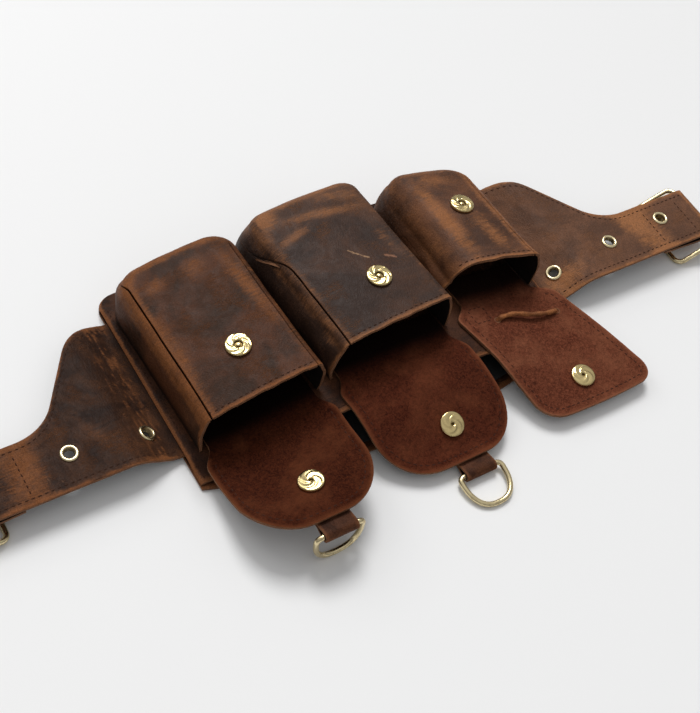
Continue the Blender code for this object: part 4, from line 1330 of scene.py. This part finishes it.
def makeWing(label, side):
    # Its section runs outward, round the ring's bar and back underneath; out is None on the hidden part
    section = []
    for out in spread(-wing["tuck"], wing["rise"], 26) + spread(wing["rise"], wingReach, 56)[1:]:
        section.append((out, bag["half"] + out, wingLevel(out), wingShoulder(out)))
    for turn in spread(math.radians(90.0), -math.radians(90.0) - returnSlope, 16)[1:]:
        out, up = onCircle(foldRadius, turn)
        section.append((None, bag["half"] + wingReach + out, foldZ + up, strapFar))
    end = wingTop - bag["leather"] - bag["gap"]
    for out in spread(wingReach, wingReach - wing["foldReturn"], 14)[1:]:
        level = end - math.tan(returnSlope) * (out - (wingReach - wing["foldReturn"]))
        section.append((None, bag["half"] + out, level, strapFar))
    rows = []
    for out, x, level, far in section:
        row = []
        for y in spread(wingNear, far, 40):
            edge = min(y - wingNear, far - y)
            wear = (0.62 + 0.5 * wobble(x, y, 9.0, 70.0 + side)) * fade(edge, wing["rim"])
            if out is None:
                row.append((Vector((side * x, y, level)), wear + 0.5, 0.0))
                continue
            wear += wingWear(label, side, out, side * x, y)
            shade = 0.55 * (1.0 - smooth(-1.0, 9.0, out))
            row.append((Vector((side * x, y, level + wingRipple(side, out, y))), wear, shade))
        rows.append(row)
    sheet = "wing" + label.capitalize()
    item = addSheet(sheet, rows, hideOf(sheet), [f"wing_{label}"],
                    away=Vector((side * (bag["half"] + 60.0), 0.0, -60.0)), offset=0.0)
    cutEyelets(item, label)
    inset = wing["stitch"]
    first, last = 3.0, wingReach - 2.0
    lines = [[(out, wingShoulder(out) - inset) for out in spread(first, last, 90)],
             [(out, wingNear + inset) for out in spread(first, last, 60)]]
    for out in wingFinish[label]["crossRows"]:
        lines.append([(out, y) for y in spread(wingNear + inset + 2.0, strapFar - inset - 2.0, 20)])
    places = []
    for line in lines:
        places += stitchRow(sheet, [(side * (bag["half"] + out), y) for out, y in line], bag["leather"] / 2.0)
    addStitches(sheet + "Stitches", places, materials["thread"])


def cutEyelets(item, label):
    points, faces = [], []
    sides = eyelet["punchSides"]
    punchFaces = bandFaces(2, sides) + endFaces(2, sides)
    for number in (1, 2, 3):
        node = f"eyelet_{label}_{number}"
        low, high = boxOf(node)
        x, y = middleOf(node)
        faces += [tuple(len(points) + k for k in face) for face in punchFaces]
        for z in (low[2] - 6.0, high[2] + 6.0):
            circle = [onCircle(eyelet["bore"], turn) for turn in fullTurn(sides)]
            points += [Vector((x + out, y + up, z)) for out, up in circle]
    mesh = bpy.data.meshes.new("eyeletPunch")
    mesh.from_pydata([point * mm for point in points], [], faces)
    punch = addToScene("eyeletPunch", mesh)
    cut = item.modifiers.new("holes", "BOOLEAN")
    cut.operation = "DIFFERENCE"
    cut.solver = "EXACT"
    cut.object = punch
    settle(item)
    bpy.data.objects.remove(punch)


# Brass: eyelets, snaps, D-rings and end rings

eyelet = {"hole": 3.0, "bore": 3.9, "flange": 5.2, "round": 0.95, "curl": 30.0, "steps": 10, "sides": 40,
          "punchSides": 24, "shade": 0.55}
snap = {"radius": 7.4, "height": 1.9, "rim": 0.55, "twist": 1.5, "sides": 120, "lift": 0.05, "sharp": 50.0}
snapKinds = {
    "pouch": {"hole": 2.2, "blades": 6, "ridge": 0.85, "post": True},
    "flap": {"hole": 0.8, "blades": 4, "ridge": 0.6, "post": False},
}


def turnTo(normal, place):
    turn = Vector((0.0, 0.0, 1.0)).rotation_difference(normal).to_matrix().to_4x4()
    return Matrix.Translation(place) @ turn


def nearSheet(name, x, y):
    # A sheet's place and normal, smoothed over a small ring, also where it has a hole
    hits = [onSheet(name, x + 4.5 * math.cos(k), y + 4.5 * math.sin(k)) for k in range(6)]
    hits = [hit for hit in hits if hit]
    place = sum((hit[0] for hit in hits), Vector()) / len(hits)
    normal = sum((hit[1] for hit in hits), Vector()).normalized()
    return Vector((x, y, place.z)), normal


def makeEyelet(label, number):
    # The third eyelet goes through both layers of the folded strap
    node = f"eyelet_{label}_{number}"
    low, high = boxOf(node)
    place, normal = nearSheet("wing" + label.capitalize(), *middleOf(node))
    matrix = turnTo(normal, place)
    top = bag["leather"] / 2.0 + bag["gap"] / 4.0
    bottom = -top if number < 3 else top + 2.0 * eyelet["round"] - (high[2] - low[2])
    crest = (eyelet["flange"] + eyelet["hole"]) / 2.0
    breadth = (eyelet["flange"] - eyelet["hole"]) / 2.0
    profile = []
    for level, way in ((top, 1.0), (bottom, -1.0)):
        curl = []
        for turn in spread(-eyelet["curl"], 180.0, eyelet["steps"]):
            angle = math.radians(turn)
            rise = eyelet["round"] * max(math.sin(angle), -0.1)
            curl.append((crest + breadth * math.cos(angle), level + way * rise))
        profile += curl[::int(way)]
    points, tones = [], []
    sides = eyelet["sides"]
    for radius, height in profile:
        points += [matrix @ Vector((*onCircle(radius, turn), height)) for turn in fullTurn(sides)]
        tones += [eyelet["shade"] if radius < eyelet["hole"] + 0.3 else 0.0] * sides
    faces = flipped(bandFaces(len(profile), sides, True))
    addSolid(f"eyelet{label.capitalize()}{number}", points, faces, tones, [materials["eyeletBrass"]], "bag",
             [node])


def makeSnap(kind, number, sheet):
    # A domed cap whose face is pressed into curved blades, round a hole with a post or a small dimple
    look = snapKinds[kind]
    hole, blades, ridge = look["hole"], look["blades"], look["ridge"]
    radius, height, rim = snap["radius"], snap["height"], snap["rim"]
    node = f"{kind}_snap_{number}"
    place, normal = nearSheet(sheet, *middleOf(node))
    matrix = turnTo(normal, place + normal * snap["lift"])
    # Each ring of the cap: radius, height, shade, and how deep the blades are there
    side = [(radius - rim, 0.0), (radius, rim * 0.6), (radius, height - 1.5 * rim),
            (radius - rim * 0.35, height - rim * 0.5), (radius - rim, height - rim * 0.15)]
    profile = [(size, level, 0.15, 0.0) for size, level in side]
    faceRings = spread(radius - rim * 1.6, hole + 0.9, 9)
    for i, size in enumerate(faceRings):
        share = i / (len(faceRings) - 1)
        dome = 0.35 * math.sin(math.pi * share * 0.6)
        profile.append((size, height + dome, 0.0, math.sin(math.pi * (0.12 + 0.8 * share))))
    profile += [(hole + 0.45, height + 0.12, 0.1, 0.0), (hole, height - 0.35, 0.8, 0.0),
                (hole * 0.9, height - 1.0, 1.0, 0.0)]
    if look["post"]:
        profile += [(hole * 0.62, height - 1.0, 1.0, 0.0), (hole * 0.55, height - 0.25, 0.2, 0.0),
                    (hole * 0.3, height - 0.05, 0.0, 0.0)]
    points, tones = [], []
    sides = snap["sides"]
    for size, level, tone, swirl in profile:
        for turn in fullTurn(sides):
            saw = ((blades * turn + snap["twist"] * size) / (2.0 * math.pi)) % 1.0
            blade = saw if saw < 0.8 else (1.0 - saw) * 4.0
            points.append(matrix @ Vector((*onCircle(size, turn), level + swirl * ridge * (blade - 0.5))))
            # Darker between the blades, on the cap's side and down the hole: painted shade, carried by the
            # shade attribute
            tones.append(min(1.0, tone + swirl * 0.9 * max(0.0, 0.3 - blade)))
    faces = bandFaces(len(profile), sides) + endFaces(len(profile), sides)
    addSolid(f"{kind}Snap{number}", points, faces, tones, [materials["snapBrass"]], "bag", [node],
             snap["sharp"])


rings = {"wire": 1.5, "fullness": 0.82, "swell": 0.1, "length": 28.0, "depth": 21.0, "corner": 3.0,
         "rest": 0.1, "sides": 20}
endRing = {"wire": 1.6, "width": 30.0, "spare": 4.0, "corner": 5.0, "sides": 20, "rest": 0.1}
tab = {"leather": 1.4, "root": 14.0, "reach": 7.0, "edgeRound": 0.25}


def makeDRing(number):
    node = f"d_ring_{number}"
    axis = jointPlace(node + "_swing")
    half, corner, depth = rings["length"] / 2.0, rings["corner"], rings["depth"]
    path = [(x, 0.0) for x in spread(half - corner, -half + corner, 12)]
    for turn in spread(90.0, 180.0, 8)[1:]:
        out, up = onCircle(corner, math.radians(turn))
        path.append((-half + corner + out, -corner + up))
    for turn in spread(180.0, 360.0, 44)[1:]:
        out, up = onCircle(1.0, math.radians(turn))
        x = math.copysign(half, out) * abs(out) ** rings["fullness"]
        path.append((x, -corner - (depth - corner) * abs(up) ** rings["fullness"]))
    for turn in spread(0.0, 90.0, 8)[1:-1]:
        out, up = onCircle(corner, math.radians(turn))
        path.append((half - corner + out, -corner + up))
    tip = math.asin((axis.z - rings["wire"] - rings["rest"]) / depth)
    matrix = Matrix.Translation(axis) @ Matrix.Rotation(tip, 4, "X")
    addTube(f"dRing{number}", [matrix @ Vector((x, y, 0.0)) for x, y in path], rings["wire"] + rings["swell"],
            rings["sides"], [materials["ringBrass"]], node, [node])


def makeRingTab(number):
    axis = jointPlace(f"d_ring_{number}_swing")
    low, high = boxOf(f"ring_tab_{number}")
    bend = rings["wire"] + bag["gap"] + tab["leather"] / 2.0
    shut = tab["leather"] / 2.0 + bag["gap"] / 2.0
    close = tab["reach"] - bag["gap"]
    touch = math.atan2(shut, close) + math.acos(bend / math.hypot(shut, close))
    section = [(back, shut) for back in spread(tab["root"], close, 6)]
    section += [onCircle(bend, turn) for turn in spread(touch, 2.0 * math.pi - touch, 28)]
    section += [(back, -shut) for back in spread(close, tab["root"], 6)]
    rows = []
    for back, up in section:
        row = []
        for x in spread(high[0], low[0], 14):
            edge = min(x - low[0], high[0] - x)
            wear = 0.7 * fade(edge, 1.5) + 0.35 * max(0.0, -back / bend)
            level = axis.z + up + 0.12 * wobble(x, back, 6.0, number)
            row.append((Vector((x, axis.y + back, level)), wear, 0.0))
        rows.append(row)
    addSheet(f"ringTab{number}", rows, hideOf("tab"), [f"ring_tab_{number}"],
             away=Vector((axis.x, axis.y + 4.0, axis.z)), thick=tab["leather"], offset=0.0,
             edgeRound=tab["edgeRound"])


def makeEndRing(label, side):
    node = f"end_ring_{label}"
    axis = jointPlace(node + "_swing")
    half = wing["strap"] / 2.0 + endRing["spare"] + endRing["wire"]
    corner, width = endRing["corner"], endRing["width"]
    centres = ((-corner, half - corner), (corner - width, half - corner), (corner - width, corner - half),
               (-corner, corner - half))
    rounds = []
    for i, (x, y) in enumerate(centres):
        turns = [onCircle(corner, math.radians(turn)) for turn in spread(90.0 * i, 90.0 * i + 90.0, 8)]
        rounds.append([Vector((x + out, y + up, 0.0)) for out, up in turns])
    path = []
    for current, following in zip(rounds, rounds[1:] + rounds[:1]):
        run = following[0] - current[-1]
        path += current + [current[-1] + run * share for share in spread(0.0, 1.0, 6)[1:-1]]
    tip = math.asin((axis.z - endRing["wire"] - endRing["rest"]) / width)
    turn = 0.0 if side > 0 else math.pi
    matrix = Matrix.Translation(axis) @ Matrix.Rotation(turn, 4, "Z") @ Matrix.Rotation(-tip, 4, "Y")
    addTube("endRing" + label.capitalize(), [matrix @ point for point in path], endRing["wire"],
            endRing["sides"], [materials["ringBrass"]], node, [node])


# Lace through the third flap

lace = {"radius": 1.45, "rise": 1.9, "wave": 1.5, "inset": 1.0, "sink": 1.6, "knots": 31.0, "sides": 12,
        "holeRadius": 1.75, "holeRim": 0.35}


def makeLace():
    low, high = boxOf("flap_lace")
    start = Vector((low[0] + lace["radius"], high[1] - lace["inset"]))
    end = Vector((high[0] - lace["radius"], low[1] + lace["inset"]))
    path = []
    for share in spread(0.0, 1.0, 40):
        x = start.x + (end.x - start.x) * share
        y = start.y + (end.y - start.y) * share + lace["wave"] * math.sin(2.0 * math.pi * share)
        place, normal = onSheet("flap3", x, y)
        climb = smooth(0.0, 0.05, min(share, 1.0 - share))
        rise = lace["sink"] + lace["radius"] + lace["rise"] * math.sin(math.pi * share)
        path.append(Vector((x, y, place.z - lace["sink"] + rise * climb)))
    addTube("flapLace", path, lambda share: lace["radius"] * (1.0 + 0.12 * math.sin(share * lace["knots"])),
            lace["sides"], [materials["lace"]], "bag", ["flap_lace"], closed=False)
    for name, end in (("laceHoleLeft", path[0]), ("laceHoleRight", path[-1])):
        place, normal = onSheet("flap3", end.x, end.y)
        turns = [onCircle(lace["holeRadius"], turn) for turn in fullTurn(24)]
        ring = [place + Vector((out, up, 0.05)) for out, up in turns]
        addTube(name, ring, lace["holeRim"], 8, [materials["edge"]], "bag", ())


# Finishes in linear colours: tan shows where the oil is rubbed out, and gloss is the specular level

leathers = {
    "pouch1": {"body": (0.074, 0.026, 0.011), "dark": (0.032, 0.014, 0.007), "tan": (0.190, 0.067, 0.021),
               "clouds": 24.0, "scuffs": 1.1, "wrinkles": 0.12, "gloss": 0.12},
    "pouch2": {"body": (0.062, 0.028, 0.016), "dark": (0.031, 0.016, 0.011), "tan": (0.230, 0.094, 0.037),
               "clouds": 22.0, "scuffs": 1.2, "wrinkles": 0.12, "gloss": 0.15},
    "pouch3": {"body": (0.130, 0.051, 0.023), "dark": (0.056, 0.024, 0.013), "tan": (0.265, 0.104, 0.038),
               "clouds": 26.0, "scuffs": 0.9, "wrinkles": 0.10, "gloss": 0.15},
    "front": {"body": (0.062, 0.024, 0.012), "dark": (0.026, 0.012, 0.008), "tan": (0.190, 0.072, 0.028),
              "clouds": 44.0, "scuffs": 1.0, "wrinkles": 0.25, "gloss": 0.07},
    "wingLeft": {"body": (0.048, 0.020, 0.010), "dark": (0.018, 0.008, 0.005), "tan": (0.175, 0.064, 0.023),
                 "clouds": 34.0, "scuffs": 1.3, "wrinkles": 0.30, "gloss": 0.09},
    "wingRight": {"body": (0.150, 0.066, 0.034), "dark": (0.088, 0.040, 0.022), "tan": (0.290, 0.120, 0.047),
                  "clouds": 26.0, "scuffs": 0.8, "wrinkles": 0.18, "gloss": 0.12},
    "tab": {"body": (0.076, 0.029, 0.015), "dark": (0.036, 0.015, 0.009), "tan": (0.165, 0.064, 0.028),
            "clouds": 60.0, "scuffs": 0.6, "wrinkles": 0.3, "gloss": 0.05},
    "lace": {"body": (0.350, 0.132, 0.046), "dark": (0.180, 0.064, 0.024), "tan": (0.500, 0.225, 0.095),
             "clouds": 120.0, "scuffs": 0.6, "wrinkles": 0.3, "gloss": 0.10},
}

wingFinish = {
    "left": {"rootWear": 0.9, "endWear": 0.35, "crossRows": (84.0,),
             "rubs": [{"at": (-165.0, -20.0), "size": (6.0, 12.0), "turn": 20.0, "strength": 0.35},
                      {"at": (-206.0, -25.0), "size": (10.0, 22.0), "turn": 0.0, "strength": 0.5}]},
    "right": {"rootWear": 0.3, "endWear": 0.55, "crossRows": (93.0, 120.0),
              "rubs": [{"at": (142.0, -34.0), "size": (16.0, 9.0), "turn": 10.0, "strength": 0.7},
                       {"at": (205.0, -12.0), "size": (12.0, 18.0), "turn": 0.0, "strength": 0.45}]},
}

# Scratches in the finish: start, end, width, depth from 0 to 1, colour
scars = {
    "pouch1": [
        ((-66.0, 31.0, 41.0), (-60.0, 20.0, 42.0), 0.7, 0.8, (0.30, 0.17, 0.09)),
        ((-107.0, 34.0, 37.0), (-100.0, 42.0, 38.0), 1.3, 0.7, (0.26, 0.13, 0.06)),
    ],
    "pouch2": [
        ((3.0, 12.0, 51.0), (12.0, 3.0, 51.0), 0.8, 0.85, (0.34, 0.20, 0.11)),
        ((22.0, 1.0, 51.0), (27.0, -2.0, 51.0), 1.3, 0.8, (0.30, 0.14, 0.08)),
    ],
    "wingLeft": [
        ((-199.0, -43.0, 15.0), (-201.0, -14.0, 15.0), 0.8, 0.6, (0.15, 0.07, 0.035)),
        ((-193.0, -43.0, 15.0), (-195.0, -16.0, 15.0), 0.7, 0.5, (0.15, 0.07, 0.035)),
        ((-164.0, -10.0, 15.0), (-156.0, -14.0, 14.0), 1.2, 0.4, (0.16, 0.11, 0.09)),
    ],
    "wingRight": [
        ((214.0, -32.0, 15.0), (223.0, -33.0, 15.0), 1.0, 0.7, (0.34, 0.19, 0.11)),
        ((198.0, -25.0, 15.0), (203.0, -29.0, 15.0), 0.8, 0.5, (0.30, 0.17, 0.10)),
    ],
}

suedes = {
    1: {"body": (0.064, 0.015, 0.006), "dark": (0.019, 0.004, 0.002), "light": (0.165, 0.050, 0.020)},
    2: {"body": (0.093, 0.022, 0.010), "dark": (0.026, 0.006, 0.003), "light": (0.195, 0.058, 0.025)},
    3: {"body": (0.155, 0.044, 0.022), "dark": (0.050, 0.013, 0.007), "light": (0.290, 0.106, 0.054)},
}

brasses = {
    "snapBrass": {"bright": (0.76, 0.60, 0.29), "tarnishAndShade": (0.15, 0.10, 0.035), "amount": 0.30, "rough": 0.17},
    "eyeletBrass": {"bright": (0.80, 0.68, 0.42), "tarnishAndShade": (0.30, 0.21, 0.10), "amount": 0.35, "rough": 0.26},
    "ringBrass": {"bright": (0.74, 0.62, 0.37), "tarnishAndShade": (0.22, 0.15, 0.07), "amount": 0.45, "rough": 0.22},
}

groups = {"pullUp": makePullUpGroup(), "scar": makeScarGroup(), "suede": makeSuedeGroup(),
          "tarnish": makeTarnishGroup()}
materials = {}
for name, finish in leathers.items():
    materials[name] = leatherMaterial(name + "Leather", finish, scars.get(name, ()))
for number, finish in suedes.items():
    materials[f"suede{number}"] = suedeMaterial(f"suede{number}", finish)
for name, finish in brasses.items():
    materials[name] = brassMaterial(name, finish)
materials["edge"] = cutEdgeMaterial("cutEdge", (0.230, 0.105, 0.048), (0.110, 0.045, 0.022))
# Inner faces of the leather, darkened nearly to black as painted shade inside the pouches
materials["inside"] = insideMaterial("insideShadedLeather", (0.012, 0.007, 0.005))
materials["cloth"] = clothMaterial()
materials["thread"] = threadMaterial("thread", (0.028, 0.012, 0.007))
materials["flapThread"] = threadMaterial("flapThread", (0.034, 0.013, 0.008))
print("materials made:", len(materials))

addCamera()
addStudio()

makeRearWall()
makeLining()
makeFrontWall()
print("back pocket made")

for index in range(len(pouches)):
    number = index + 1
    makePouchWall(index)
    makePouchPanel(index)
    makeFlap(index)
    makeSnap("pouch", number, f"pouchPanel{number}")
    makeSnap("flap", number, f"flap{number}")
print("pouches and flaps made")

for label, side in (("left", -1.0), ("right", 1.0)):
    makeWing(label, side)
    makeEndRing(label, side)
    for number in (1, 2, 3):
        makeEyelet(label, number)
print("wings made")

for number in (1, 2):
    makeRingTab(number)
    makeDRing(number)
makeLace()
print("rings and lace made")
